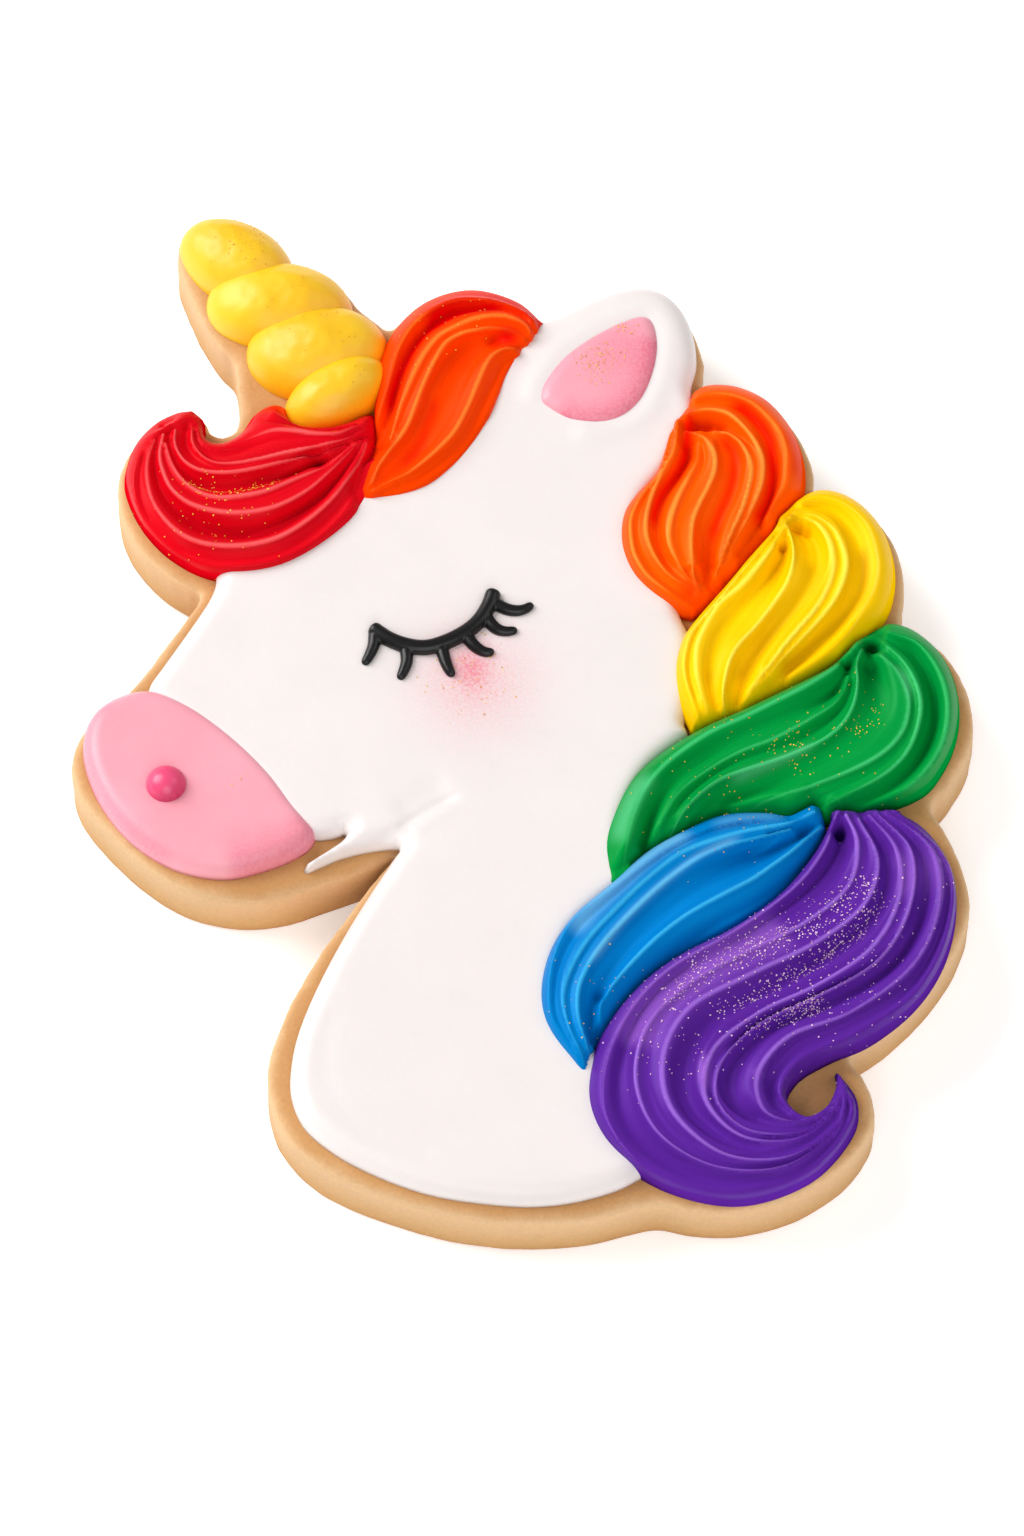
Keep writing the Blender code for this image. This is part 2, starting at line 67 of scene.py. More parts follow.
STRAND_WIDE = 0.9  # from one drawn line to the next, where the drag lines are laid out
DRAG_HIGH = 0.07
CREST_LINE = 0.28  # half width of the bright line along a ridge: painted highlight, partly the paler dried sugar on the crest
FLOW_UNIT = 100  # millimetres to one unit of the flow coordinates
FLAKE_THICK = 0.03

# Outlines, clockwise from the throat
BISCUIT = [
    (-11.4, -14.2), (-14, -15.6), (-17.5, -17), (-21.5, -18.4), (-25.5, -18.7), (-30, -17.6), (-34, -15),
    (-37.5, -11.4), (-39.9, -8), (-40.6, -5), (-39.8, -2.1), (-37.9, 0.3), (-36, 2.1), (-34.3, 4.2),
    (-32.3, 7.2), (-30.6, 9.8), (-29.3, 12.2),
    (-30.4, 13.1), (-32.2, 14.3), (-34.2, 16.2), (-35.8, 18.6), (-36.8, 21.3), (-37, 24), (-36.2, 26.8),
    (-34.4, 29.2), (-32.2, 30.7), (-30.3, 31), (-29.1, 30.4), (-28.6, 29.4), (-27.6, 28.9), (-26.4, 29.5),
    (-26, 31.2), (-26.2, 34), (-26.6, 36.6),
    (-27.9, 38.2), (-29.6, 41), (-31, 44.3), (-32, 47.4), (-31.6, 50.1), (-29.8, 51.6), (-27.2, 51.6),
    (-24.3, 50.3), (-22.3, 48.6), (-21, 47), (-19, 46.4), (-16.7, 44.7), (-15, 42.4), (-13.6, 41.2),
    (-12.3, 40.2), (-10.9, 41.3), (-8.4, 43), (-5, 43.9), (-1.8, 43.3), (0.5, 41.7), (1.8, 40.5),
    (3.6, 41.4), (6.3, 43.1), (9.3, 44.1), (12.2, 43.9), (14.4, 42.3), (15.9, 39.9), (16.8, 36.9),
    (16.8, 34.2),
    (18.6, 34), (21.6, 33), (24.2, 30.8), (25.9, 28), (26.7, 25.2), (26.8, 23),
    (28.7, 22.8), (31.2, 21.5), (33.4, 19), (34.6, 15.8), (34.8, 12.4), (34.5, 9.2),
    (36.7, 8), (39, 5.4), (40.4, 2.2), (40.8, -1.1), (40.1, -4.2), (38.5, -7.1), (36.9, -9.4),
    (38.1, -11.9), (39.5, -15.6), (40, -19.4), (38.9, -23.1), (37, -26.3), (34.8, -29.1), (32.2, -31.6),
    (29.2, -34), (30.2, -36), (31, -38.2), (31, -40.6), (29.6, -43.2), (27.5, -45.3), (25, -47), (22, -48.3),
    (18.5, -49), (15, -48.9), (12, -48.3),
    (9.4, -48.8), (6, -49.7), (2, -50.1), (-2, -50), (-6, -49.4), (-10, -48.3), (-14, -46.8), (-17.5, -45),
    (-20, -42.8), (-21.7, -40.2), (-22.5, -37), (-22.3, -34), (-21, -29.8), (-19.2, -26), (-17, -22.2),
    (-14.6, -18.6), (-12.6, -15.8),
]

WHITE = [
    (-33.7, 2.2), (-32.5, 4.3), (-31.2, 6.4), (-29.8, 8.7), (-28.5, 11), (-27.9, 12.6), (-27.7, 14.2),
    (-26.5, 16.5), (-20, 20), (-14.8, 24.6), (-11, 27.5), (-7, 32), (-3.5, 37), (0.2, 39.6),
    (2.6, 40.5), (5.2, 42), (8.2, 43.4), (11, 43.9), (13.4, 43.1), (15, 41.2), (15.9, 38.6), (16.1, 35.8),
    (15.6, 33), (16.2, 30), (14.6, 25.4), (11.5, 21), (11.5, 16), (14.2, 11.6), (14.4, 9.5), (15.8, 6),
    (15.8, 2.5), (14.7, -1.3), (14.9, -3), (11.5, -6.5), (9.5, -11), (9.5, -15), (10, -17.5), (6, -21.5),
    (4.2, -25.5), (4, -30), (6.2, -33.5), (8, -36), (8.2, -39.5), (10.3, -43), (12, -45.2),
    (10.6, -46.1), (8, -47.5), (4, -48.6), (0, -48.9), (-5, -48.4), (-9, -47.5), (-13, -45.9),
    (-16.5, -43.9), (-19.2, -41.4), (-20.4, -38.4), (-20.4, -35.2), (-19.7, -31.8), (-18.1, -27.5),
    (-15.9, -22.8), (-13.6, -18.6), (-11.7, -15.4), (-11, -14), (-13.2, -14.1), (-16, -14.8), (-18.2, -15.8),
    (-19.3, -16.3), (-19.5, -15.8), (-18.5, -15), (-17.1, -14), (-16.1, -13.2), (-15.8, -12.5),
    (-17.2, -12.9),
    (-18.9, -12.9), (-21.6, -11.6), (-23.6, -8.6), (-26.6, -5.4), (-30.6, -1.8), (-33.4, 0.5),
]

MUZZLE = [
    (-33.4, 1.7), (-29.6, 0.1), (-25.8, -2.9), (-22.6, -6.3), (-20.3, -9.6), (-19, -11.5), (-18.5, -12.7),
    (-19.3, -14.2), (-22.2, -15.8), (-26.5, -16.9), (-31, -16), (-35, -13.3), (-38, -9.3), (-39.5, -4.8),
    (-39, -1.2), (-36.7, 1),
]

EAR = [
    (1.6, 31.4), (2, 33.2), (3.8, 35.8), (6.3, 37.9), (9, 39.5), (11.1, 40.2), (12.2, 39.4), (12.6, 37),
    (12.2, 34.2), (11.1, 31.4), (9.3, 29.5), (7, 28.8), (4.4, 29.2), (2.4, 30.4),
]

NOSTRIL = (-31.9, -8.4)

# Horn beads from tip to root: centre, half length, half width, turn in degrees
HORN = [
    ((-26.4, 46.6), 5.9, 4.0, -35),
    ((-22.3, 41.9), 6.8, 4.5, -6),
    ((-18.9, 37.1), 6.6, 4.9, 5),
    ((-16.9, 32.5), 5.4, 3.3, 33),
]

LASHES = [
    [(-13.7, 7.6), (-12.1, 6.4), (-10.4, 5.7), (-8.7, 5.5), (-7, 6), (-5.2, 7), (-3.9, 8.2), (-3, 9.8),
     (-2.5, 11.4)],
    [(-13.3, 7.1), (-13.4, 5.8), (-13.8, 4.7), (-14.3, 3.8)],
    [(-10.5, 5.6), (-10.4, 4.2), (-10.7, 3.1), (-11.1, 2.3)],
    [(-7.3, 5.8), (-7, 4.4), (-6.6, 3.3), (-6.2, 2.6)],
    [(-5.1, 6.8), (-4.3, 5.7), (-3.4, 5.1), (-2.5, 5.1)],
    [(-3.4, 8.8), (-2.5, 7.6), (-1.6, 7.2), (-0.4, 7.3)],
    [(-2.7, 10.2), (-1.5, 9.5), (-0.5, 9.3), (0.3, 9.5), (1, 10)],
]

# How sharply a ridge's crest is drawn: a thin line, a soft fold, a round strand
THIN, SOFT, ROUND = 0.6, 0.95, 1.35


def ridge(sharpness, heights, path):
    """A crest drawn from root to tip, with its heights along the way as shares of the lobe's full height."""
    return "ridge", path, heights, sharpness


def valley(depths, path):
    """A groove drawn from root to tip, with its depths along the way in millimetres below its neighbours."""
    return "valley", path, depths, None


# Piped lobes: facing points of the left and right edges from root to tip, and between them, from left to
# right, the ridges and the valleys that the star tip and the hand left
LOBES = {
    "forelock_red": dict(
        crest=3.4, under=["forelock_orange", "horn_4"],
        left=[(-13.6, 30.6), (-16.5, 30.5), (-20, 30.9), (-22.6, 31.3), (-24.6, 30.3), (-25.8, 28.4),
              (-27, 27.4), (-28.2, 27.2), (-29, 27.8), (-29, 28.8), (-29.1, 29.7)],
        right=[(-12.7, 29.3), (-12.8, 24.4), (-13.7, 21.3), (-16, 17.9), (-21.8, 14), (-27.5, 13.4),
               (-31.6, 15.3), (-34.6, 18.6), (-36.3, 22.6), (-36.1, 25.4), (-35.2, 27.6), (-33.6, 29.5),
               (-31.8, 30.5), (-30.2, 30.8)],
        lines=[
            ridge(SOFT, (0.9, 0.85, 0.85, 0.8), [(-22.8, 29.6), (-21.2, 28.7), (-19.6, 28.2), (-17.5, 28),
                (-15.2, 28.5)]),
            valley((0.3, 0.5, 0.6, 0.5), [(-23.5, 30.1), (-22.4, 29.6), (-21.2, 28.8), (-19, 28.1),
                (-16.9, 28.1), (-15.4, 28.6)]),
            ridge(ROUND, (0.85, 0.95, 1, 0.95, 0.85, 0.85, 0.85), [(-14.6, 28.3), (-15.6, 27.8),
                (-16.9, 27.2), (-19, 27.1), (-20.9, 27.4), (-22.7, 27.5), (-24.6, 26.9), (-25.9, 26.3),
                (-27.5, 25.8), (-28.8, 26.1), (-29.5, 26.9), (-29.7, 28)]),
            valley((0.6, 0.4, 0.2, 0.2, 0.3, 0.4), [(-14.8, 28.2), (-16.6, 27.1), (-19, 26.9), (-22, 26.4),
                (-25, 25.6), (-27.5, 25.6), (-29, 26.1), (-29.8, 27.2), (-29.9, 28.2)]),
            ridge(SOFT, (0.8, 1, 1, 0.95, 0.9), [(-14.6, 27.8), (-15.9, 26.8), (-17.5, 26.2), (-19.6, 25.6),
                (-21.7, 25.1), (-24, 24.5), (-26.2, 24.1), (-28, 24.2), (-29.3, 25), (-30.1, 26.3),
                (-30.2, 27.7)]),
            valley((0.5, 0.3, 0.3, 0.4, 0.8, 0.9), [(-15.4, 27.1), (-17.5, 26.2), (-19.6, 25.8),
                (-21.7, 25.2), (-23.8, 24.6), (-25.9, 24.1), (-27.7, 24.2), (-29.5, 25.1), (-30.5, 26.4),
                (-30.6, 27.9)]),
            ridge(THIN, (0.85, 0.95, 1, 1, 0.95), [(-16.2, 26.1), (-18, 25.3), (-20.1, 24.7), (-22.2, 24.1),
                (-24.3, 23.5), (-26.4, 23.1), (-28.3, 23.1), (-29.8, 23.5), (-31, 24.5), (-31.7, 26.1),
                (-31.7, 27.6)]),
            valley((1.2, 1.9, 1.4, 1.2, 1.3, 1.4, 1.3), [(-16, 26.2), (-17.4, 25.1), (-19.3, 24.6),
                (-21.4, 23.6), (-23.3, 22.8), (-25.4, 22.1), (-27.5, 21.9), (-29.6, 22.2), (-31.2, 23.2),
                (-32.1, 24.9), (-32.3, 26.6), (-32.1, 28.2)]),
            ridge(SOFT, (0.85, 0.95, 1, 1, 0.95), [(-15.3, 26.4), (-17.3, 24.3), (-19, 23.2), (-21.2, 22.1),
                (-23.3, 21.1), (-25.4, 20.6), (-27.5, 20.4), (-29.3, 20.9), (-30.9, 22.2), (-32, 24.1),
                (-32.6, 26.1)]),
            valley((0.1, 0.25, 0.3, 0.25), [(-16.6, 24.9), (-19, 23.1), (-21.7, 21.4), (-24.8, 20.2),
                (-27.5, 20.1), (-30.1, 21.1), (-31.9, 22.9), (-32.7, 25.1)]),
            ridge(SOFT, (0.85, 0.95, 1, 1, 0.95), [(-14.8, 26.6), (-16.2, 24.8), (-17.5, 23.3),
                (-19.6, 21.2), (-22.2, 19.6), (-24.8, 18.9), (-27.5, 18.9), (-30.1, 19.7), (-31.9, 21.3),
                (-32.8, 23.3), (-33.1, 25.1), (-32.8, 27.1)]),
            valley((0.9, 1.3, 1.5, 1.5, 1.4, 1.2, 0.8), [(-14.8, 26.8), (-15.4, 25.6), (-16.2, 24.2),
                (-17.2, 22.6), (-19, 20.4), (-21.2, 18.6), (-23.3, 17.4), (-25.4, 17.1), (-27.5, 17.4),
                (-29.6, 18.2), (-31.4, 19.9), (-32.7, 21.9), (-33.4, 24.1), (-33.4, 26.1), (-32.8, 28.2)]),
            ridge(ROUND, (0.9, 0.95, 1, 1, 0.95, 0.9), [(-14.2, 26.4), (-14.8, 24.5), (-15.9, 22.4),
                (-17.5, 20.1), (-19.6, 18), (-21.9, 16.4), (-24.3, 15.6), (-26.7, 15.4), (-29, 15.7),
                (-30.9, 16.6), (-32.5, 18.2), (-33.7, 20.3), (-34.2, 22.7), (-34.1, 24.8), (-33.6, 26.6)]),
            valley((0.3, 0.35, 0.35, 0.3), [(-14.4, 24.9), (-15.4, 22.8), (-16.9, 20.1), (-19, 17.8),
                (-21.4, 16.1), (-24, 15.1), (-26.7, 14.8), (-29, 15.1), (-30.9, 15.8), (-32.7, 17.8),
                (-34, 20.1), (-34.7, 22.8), (-34.6, 25.4)]),
            ridge(ROUND, (0.8, 0.85, 0.88, 0.88, 0.85), [(-14, 24), (-14.5, 22.2), (-15.6, 20.1),
                (-16.9, 18.2), (-19, 16.1), (-21.2, 14.7), (-23.5, 13.9), (-26.2, 13.6), (-28.5, 13.7),
                (-30.6, 14.5), (-32.5, 15.9), (-33.9, 17.5), (-34.9, 19.5), (-35.4, 21.6), (-35.3, 23.7),
                (-34.5, 25.9), (-33, 27.7), (-31.3, 28.7)]),
        ]),
    "forelock_orange": dict(
        crest=3.4, under=[],
        left=[(2.2, 39.7), (-0.4, 42.3), (-4.6, 43.6), (-8.9, 42.3), (-11.9, 39.1), (-13.4, 35), (-13.6, 31),
              (-13.5, 27.5), (-14.4, 24.5), (-15.1, 21.7)],
        right=[(1.1, 37.5), (0, 36.1), (-1.2, 34), (-2, 31.8), (-2.9, 29.4), (-4.3, 26.8), (-6.1, 24.4),
               (-8.4, 22.4), (-11, 21.3), (-14.6, 20.6)],
        lines=[
            ridge(SOFT, (0.85, 0.95, 0.95, 0.9, 0.85), [(1.4, 38.5), (0.4, 39.9), (-1.2, 40.8), (-3.1, 41.3),
                (-5, 41.4), (-6.7, 41.1), (-8.6, 40), (-10, 38.7), (-11, 37), (-11.6, 35.4), (-12, 33.5),
                (-12.4, 31.8), (-12.9, 30.1), (-13.3, 28.9)]),
            valley((0.5, 1.1, 1.2, 1.1, 0.9, 1, 1.2), [(0.7, 39.5), (-0.8, 40.5), (-2.7, 40.9), (-4.8, 40.8),
                (-6.5, 40.4), (-8.1, 39.2), (-9.3, 37.9), (-10.3, 36), (-10.9, 34), (-11.5, 31.9),
                (-11.9, 29.9), (-12.2, 28.1), (-12.7, 26.4)]),
            ridge(ROUND, (0.9, 1, 1, 1, 0.95, 0.9), [(0.9, 37.6), (0.3, 38.7), (-1.2, 39.4), (-2.9, 39.5),
                (-4.6, 39.1), (-6.2, 38.3), (-7.7, 37.3), (-8.9, 35.6), (-9.8, 33.7), (-10.5, 31.8),
                (-11.1, 30.1), (-11.5, 28.5), (-12, 26.7)]),
            valley((0.1, 0.2, 0.3, 0.25), [(-1, 39.1), (-2.8, 39.4), (-4.6, 39), (-6.2, 38), (-7.6, 36.5),
                (-8.6, 34.9), (-9.4, 33), (-10.1, 31.2), (-10.7, 29.4), (-11.4, 27.9)]),
            ridge(THIN, (0.85, 0.98, 1, 1, 1, 0.9), [(0.7, 37), (-0.8, 38), (-2.7, 38.3), (-4.3, 38),
                (-5.6, 37.6), (-7, 36.7), (-7.9, 35.1), (-8.6, 33.5), (-9.3, 31.6), (-9.9, 29.7),
                (-10.4, 28.2), (-11.1, 26.8), (-12.1, 25.4), (-13.1, 23.7), (-13.7, 22.1)]),
            valley((0.2, 0.9, 1.3, 1.1, 0.9, 0.9, 1, 0.6), [(-0.3, 37.4), (-2.2, 37.5), (-3.6, 37.4),
                (-4.8, 36.6), (-6, 35.5), (-7, 33.5), (-7.7, 31.6), (-8.1, 29.8), (-8.9, 27.9), (-9.7, 26.1),
                (-11, 24.4), (-12.4, 23.2)]),
            ridge(THIN, (0.9, 1, 1, 1, 0.95, 0.85), [(0, 35.9), (-0.8, 36.2), (-1.7, 36.1), (-2.7, 35.4),
                (-3.4, 34.2), (-4.1, 32.3), (-4.7, 30.6), (-5.4, 28.9), (-6.2, 27.3), (-7.4, 25.8),
                (-8.9, 24.3), (-10.5, 23), (-12.2, 22.2), (-13.6, 21.3)]),
            valley((0.3, 0.35, 0.3, 0.3), [(-0.8, 36), (-1.7, 35.1), (-2.4, 33.5), (-3.1, 31.6),
                (-3.9, 29.8), (-4.8, 27.9), (-6, 26.1), (-7.4, 24.8), (-9.3, 23.2), (-11.2, 22.4)]),
            ridge(ROUND, (0.85, 0.9, 0.9, 0.88, 0.8), [(-0.5, 35.1), (-1.2, 33.9), (-2, 32), (-2.7, 30.1),
                (-3.4, 28.2), (-4.3, 26.6), (-5.5, 24.9), (-7.2, 23.3), (-9.1, 22.1), (-11.2, 21.3),
                (-13.4, 20.7)]),
        ]),
    "mane_orange": dict(
        crest=3.4, under=["mane_yellow"],
        left=[(15.2, 31), (14, 29.6), (13.4, 28), (12.9, 26), (12.1, 23.8), (10.4, 21.8), (9.2, 19.9),
              (8.8, 17.5), (9.1, 15.3), (10.2, 12.9), (12.3, 10.7), (14.3, 9.6), (15.4, 9.3)],
        right=[(15.6, 32.5), (16.7, 33.3), (18.2, 33.5), (20.3, 33.1), (22.7, 31.7), (24.5, 29.4),
               (25.6, 26.8), (26, 24), (25.6, 21), (24.4, 18.6), (22.1, 15.7), (19.1, 12.5), (17, 10.3)],
        lines=[
            ridge(SOFT, (0.8, 0.9, 0.95, 0.95, 0.8), [(13.7, 27.6), (12.6, 23.4), (11, 20.9), (10, 18.7),
                (9.9, 16.7), (10.2, 14.7), (11.2, 12.7), (12.8, 11.2), (14.5, 9.9), (15.6, 9.2)]),
            valley((0.15, 0.3, 0.3, 0.2), [(13.9, 27.6), (12.9, 23.8), (11.5, 21.5), (10.8, 19.2),
                (10.6, 17), (11.1, 15), (12.4, 13), (14, 11.7), (15.5, 11)]),
            ridge(SOFT, (0.85, 0.95, 1, 0.95, 0.85), [(14.3, 28.9), (14.2, 27.7), (13.8, 25.4), (13, 23.7),
                (12, 21.2), (11.4, 18.7), (11.3, 16.7), (11.9, 14.7), (13, 12.9), (14.5, 11.7),
                (15.7, 11.3)]),
            valley((1.5, 1.6, 1.2, 1, 1.1, 1.2), [(14.5, 28.4), (15, 27.1), (15.5, 26.1), (15.3, 25),
                (14.2, 23), (13, 21), (12.4, 19), (12.4, 16.8), (13.2, 14.5), (14.5, 13.2), (15.2, 12.8)]),
            ridge(ROUND, (0.8, 0.95, 1, 0.95, 0.85), [(16.2, 26.2), (16.1, 24.7), (15.2, 22.7), (14.1, 20.2),
                (13.4, 17.7), (13.4, 15.7), (14.2, 13.7), (15, 12.4), (15.6, 11.6)]),
            valley((0.2, 0.3, 0.25, 0.2), [(16.6, 26.6), (16.6, 24.2), (15.8, 22.2), (14.8, 20), (14.2, 18),
                (14.4, 15.8), (15, 13.8)]),
            ridge(THIN, (0.85, 1, 1, 1, 0.95, 0.85), [(15.1, 27.8), (16.2, 27.2), (17, 26.3), (17.6, 24.9),
                (17.6, 23.4), (17.1, 21.9), (16.2, 19.9), (15.6, 18.2), (15.4, 16.4), (15.4, 14.3),
                (15.6, 12.4), (16, 10.8)]),
            valley((0.5, 1.1, 1, 1, 1.4, 1.3), [(17.6, 27.6), (18.5, 27.1), (19.2, 25.2), (19.2, 23.2),
                (18.8, 21.2), (17.8, 19.2), (17.1, 17.2), (16.9, 15.2), (17.1, 13.8), (17.3, 12.8)]),
            ridge(THIN, (0.9, 1, 1, 1, 0.95, 0.85), [(15.5, 27.7), (17, 27.7), (18.5, 27.3), (19.8, 26.4),
                (20.5, 25.2), (20.9, 23.9), (20.9, 22.7), (20.6, 21.2), (20.1, 19.4), (19.4, 17.7),
                (18.6, 15.7), (18.1, 14.2), (17.6, 12.5)]),
            valley((1.3, 1.4, 0.3, 0.2, 0.25, 0.2), [(15.5, 29.1), (17.6, 28.6), (19.8, 27.6), (20.9, 26),
                (21.4, 24.2), (21.2, 22.5), (20.6, 20.2), (19.8, 18.2), (18.9, 16), (18.2, 14.2)]),
            ridge(SOFT, (0.9, 1, 1, 1, 0.9, 0.8), [(15.3, 29.4), (16.5, 29.7), (17.8, 29.6), (19, 29.1),
                (20.2, 27.9), (21.2, 26.4), (21.9, 24.7), (22, 23.2), (21.8, 21.7), (21.1, 19.7),
                (20.2, 17.7), (19.2, 15.7), (18.5, 13.9)]),
            valley((0.3, 0.7, 0.9, 1.2, 1.4, 1.1), [(15.8, 30.9), (17.8, 30.9), (19.5, 30.4), (21, 29.2),
                (22.2, 27.2), (22.9, 25), (23, 23), (22.5, 20.8), (21.8, 19.2), (20.8, 17.5), (19.5, 15.5)]),
            ridge(ROUND, (0.85, 0.92, 0.95, 0.95, 0.9, 0.8), [(15.8, 31), (17, 31.4), (19, 31.3), (21, 30.4),
                (22.5, 28.9), (23.6, 27.2), (24.1, 25.4), (24.1, 23.7), (23.9, 21.9), (23.2, 20.2),
                (22.5, 18.7)]),
        ]),
    "mane_yellow": dict(
        crest=3.5, under=["mane_green"],
        left=[(24.2, 20.3), (23.4, 19.4), (22.9, 18.1), (20.9, 15.6), (18.8, 12.7), (16.9, 10.3),
              (15.1, 7.9), (14.1, 5.8), (13.7, 3.4), (14, 0.4), (15.3, -2.6)],
        right=[(24.9, 21), (26, 21.9), (27.4, 22.4), (29.3, 22), (31.3, 20.6), (33, 18.2), (33.9, 15.2),
               (33.9, 12.2), (33, 9.2), (30.6, 6.1), (26.5, 2.6), (21.2, -0.4), (16.4, -2.6)],
        lines=[
            ridge(SOFT, (0.8, 0.9, 0.95, 0.95, 0.85), [(23.7, 18.7), (23, 17.2), (21.4, 14.8), (19.6, 12.4),
                (18.1, 10.3), (16.7, 8.5), (15.4, 6.7), (14.8, 4.8), (14.6, 3.2), (14.8, 1.6), (15.3, -0.2),
                (15.9, -2.2)]),
            valley((0.1, 0.2, 0.3, 0.25), [(19.9, 12.6), (18.1, 10.2), (16.5, 8.1), (15.4, 5.5), (15.2, 3.5),
                (15.3, 1.9), (15.8, 0.2)]),
            ridge(ROUND, (0.85, 1, 1, 1, 0.85), [(24, 18.3), (23.6, 17), (22, 14.2), (19.9, 11.4),
                (17.9, 9.5), (16.6, 7.2), (15.8, 5.1), (15.7, 3), (15.9, 1.4), (16.3, -0.2), (16.9, -1.9)]),
            valley((1.3, 1.5, 0.9, 0.7, 0.7, 0.8, 0.9), [(23.8, 16.8), (23.6, 15.3), (22.5, 12.8),
                (20.7, 10.3), (19.1, 8.2), (17.9, 6.5), (17.3, 4.3), (17.1, 2.2), (17.4, 0.3),
                (17.7, -0.2)]),
            ridge(THIN, (0.9, 1, 1, 1, 1, 0.9), [(24.1, 17.7), (24.3, 17), (24.6, 15.6), (24.6, 13.8),
                (24, 11.6), (22.8, 9.5), (21.2, 7.2), (19.6, 5.3), (18.8, 3.8), (18.3, 1.9), (18.1, 0.3),
                (18.2, -1.5)]),
            valley((1.3, 1.2, 0.6, 0.7, 1, 1.1, 1), [(25, 17.9), (26, 17.2), (26.7, 15.8), (26.7, 13.8),
                (25.9, 11.7), (24.4, 9.3), (22.5, 7), (21.2, 5), (20.2, 3.2), (19.6, 1.4), (19.4, 0)]),
            ridge(SOFT, (0.9, 1, 1, 1, 0.95, 0.85), [(24.5, 18.5), (25.7, 18.3), (27, 17.5), (27.9, 15.9),
                (28.2, 14), (28.1, 12.4), (27.5, 10.6), (26.5, 8.8), (25, 6.9), (23.6, 5.1), (22.3, 3.2),
                (21.1, 1.6), (20.2, 0.1), (19.7, -1.1)]),
            valley((0.15, 0.25, 0.2), [(25.5, 19.1), (27.5, 18.1), (28.5, 16.1), (28.9, 14.2), (28.7, 12.8),
                (28, 10.8), (26.8, 8.8), (25.2, 7), (23.7, 5.2), (22.3, 3.4)]),
            ridge(SOFT, (0.85, 0.97, 1, 0.97, 0.9, 0.85), [(24.9, 19), (26.7, 18.6), (28.2, 17.3),
                (29, 15.6), (29.4, 13.8), (29.2, 12.2), (28.4, 10.1), (27, 8), (25.4, 6.1), (23.8, 4.3),
                (22.3, 2.4), (20.9, 0.9)]),
            valley((0.5, 0.7, 0.9, 1, 1, 0.8), [(25.3, 20.1), (27.5, 19.6), (29.1, 18.4), (30.2, 16.4),
                (30.6, 14.3), (30.4, 12.2), (29.6, 10.1), (28.3, 8), (26.7, 6.2), (25.2, 4.5), (23.6, 3),
                (22, 1.6)]),
            ridge(ROUND, (0.85, 0.9, 0.95, 0.92, 0.85, 0.75), [(25.5, 20.2), (27, 20.6), (28.8, 20.2),
                (30.4, 19), (31.5, 17.4), (32.1, 15.3), (32.3, 13.2), (31.9, 11.1), (30.9, 9), (29.9, 7.2),
                (28.6, 5.6), (26.7, 4), (24.5, 2.5)]),
        ]),
    "mane_green": dict(
        crest=3.6, under=["mane_blue", "mane_purple"],
        left=[(30.5, 6.9), (29.5, 5.8), (27.6, 3.7), (24.6, 2), (20.2, -0.3), (16.2, -2.3), (12.6, -4.6),
              (9.9, -7.2), (8, -10.9), (7.1, -14.2), (7.6, -18.2)],
        right=[(31.9, 7.9), (33.5, 8.6), (35.7, 7.8), (38.2, 5.1), (39.4, 1.4), (39.3, -2.4), (38, -6),
               (35.6, -8.9), (30, -11), (23.5, -12.2), (17, -14), (12.2, -16.5), (8.5, -18.6)],
        lines=[
            ridge(ROUND, (0.9, 1, 1, 1, 0.95, 0.85), [(30.4, 5.5), (29.4, 4.2), (28.1, 2.8), (25.6, 1),
                (22.8, -0.6), (19.9, -2.2), (17.1, -3.6), (14.6, -5.4), (12.6, -7.2), (11.1, -9.2),
                (10.2, -11.3), (9.6, -13.4), (9.2, -15.6), (8.9, -17.5)]),
            valley((1.5, 1.1, 0.6, 0.6, 0.8, 1, 1.5), [(30, 4.8), (29.4, 3.1), (28.9, 1.6), (27.4, 0.3),
                (24.9, -1.1), (22.1, -2.5), (19.2, -4), (16.4, -5.8), (14.2, -7.3), (12.8, -8.9),
                (11.9, -10.8), (11.3, -12.6), (10.8, -14.3)]),
            ridge(ROUND, (0.85, 0.92, 0.95, 0.93, 0.9, 0.85), [(29.4, 2.2), (29, 0.7), (28, -0.8),
                (26.2, -2.1), (22.8, -4.2), (19.6, -5.6), (16.7, -7.4), (14.2, -9.5), (12.9, -11.7),
                (12, -13.8)]),
            valley((0.9, 0.8, 0.6, 0.7, 0.8), [(29.6, 1.6), (28.9, -0.3), (27.6, -2), (25, -4), (22, -5.2),
                (19.2, -6.3), (16.8, -7.8), (14.6, -9.8), (13, -11.9), (12.3, -13.4)]),
            ridge(THIN, (0.95, 1, 1, 1, 1, 0.85), [(30.7, 4.9), (30.2, 3.3), (30.2, 1.2), (29.8, -0.9),
                (28.9, -2.7), (27.4, -4.2), (25.3, -5.4), (22.8, -6.5), (20.3, -7.4), (18.1, -8.3),
                (16.4, -9.5), (14.8, -11.1), (13.4, -13), (12.5, -14.4)]),
            valley((1.9, 1.2, 0.7, 0.8, 1.1, 1.3, 1.2), [(31.2, 4.8), (31.5, 3.6), (31.5, 2.1), (31.4, -0.3),
                (30.3, -2.5), (28.5, -4.7), (26, -6.5), (23.1, -7.8), (20.3, -8.9), (17.8, -9.8),
                (15.6, -11.2), (14.2, -12.6)]),
            ridge(SOFT, (0.9, 1, 1, 0.95, 0.85), [(31.5, 5.2), (32.4, 4.2), (33.7, 2.6), (34.5, 0.8),
                (34.8, -0.9), (34.4, -3.1), (33.3, -4.9), (31.7, -6.3), (29.6, -7.5), (27.1, -8.6),
                (24.6, -9.5), (21.7, -10.3), (19.4, -10.9)]),
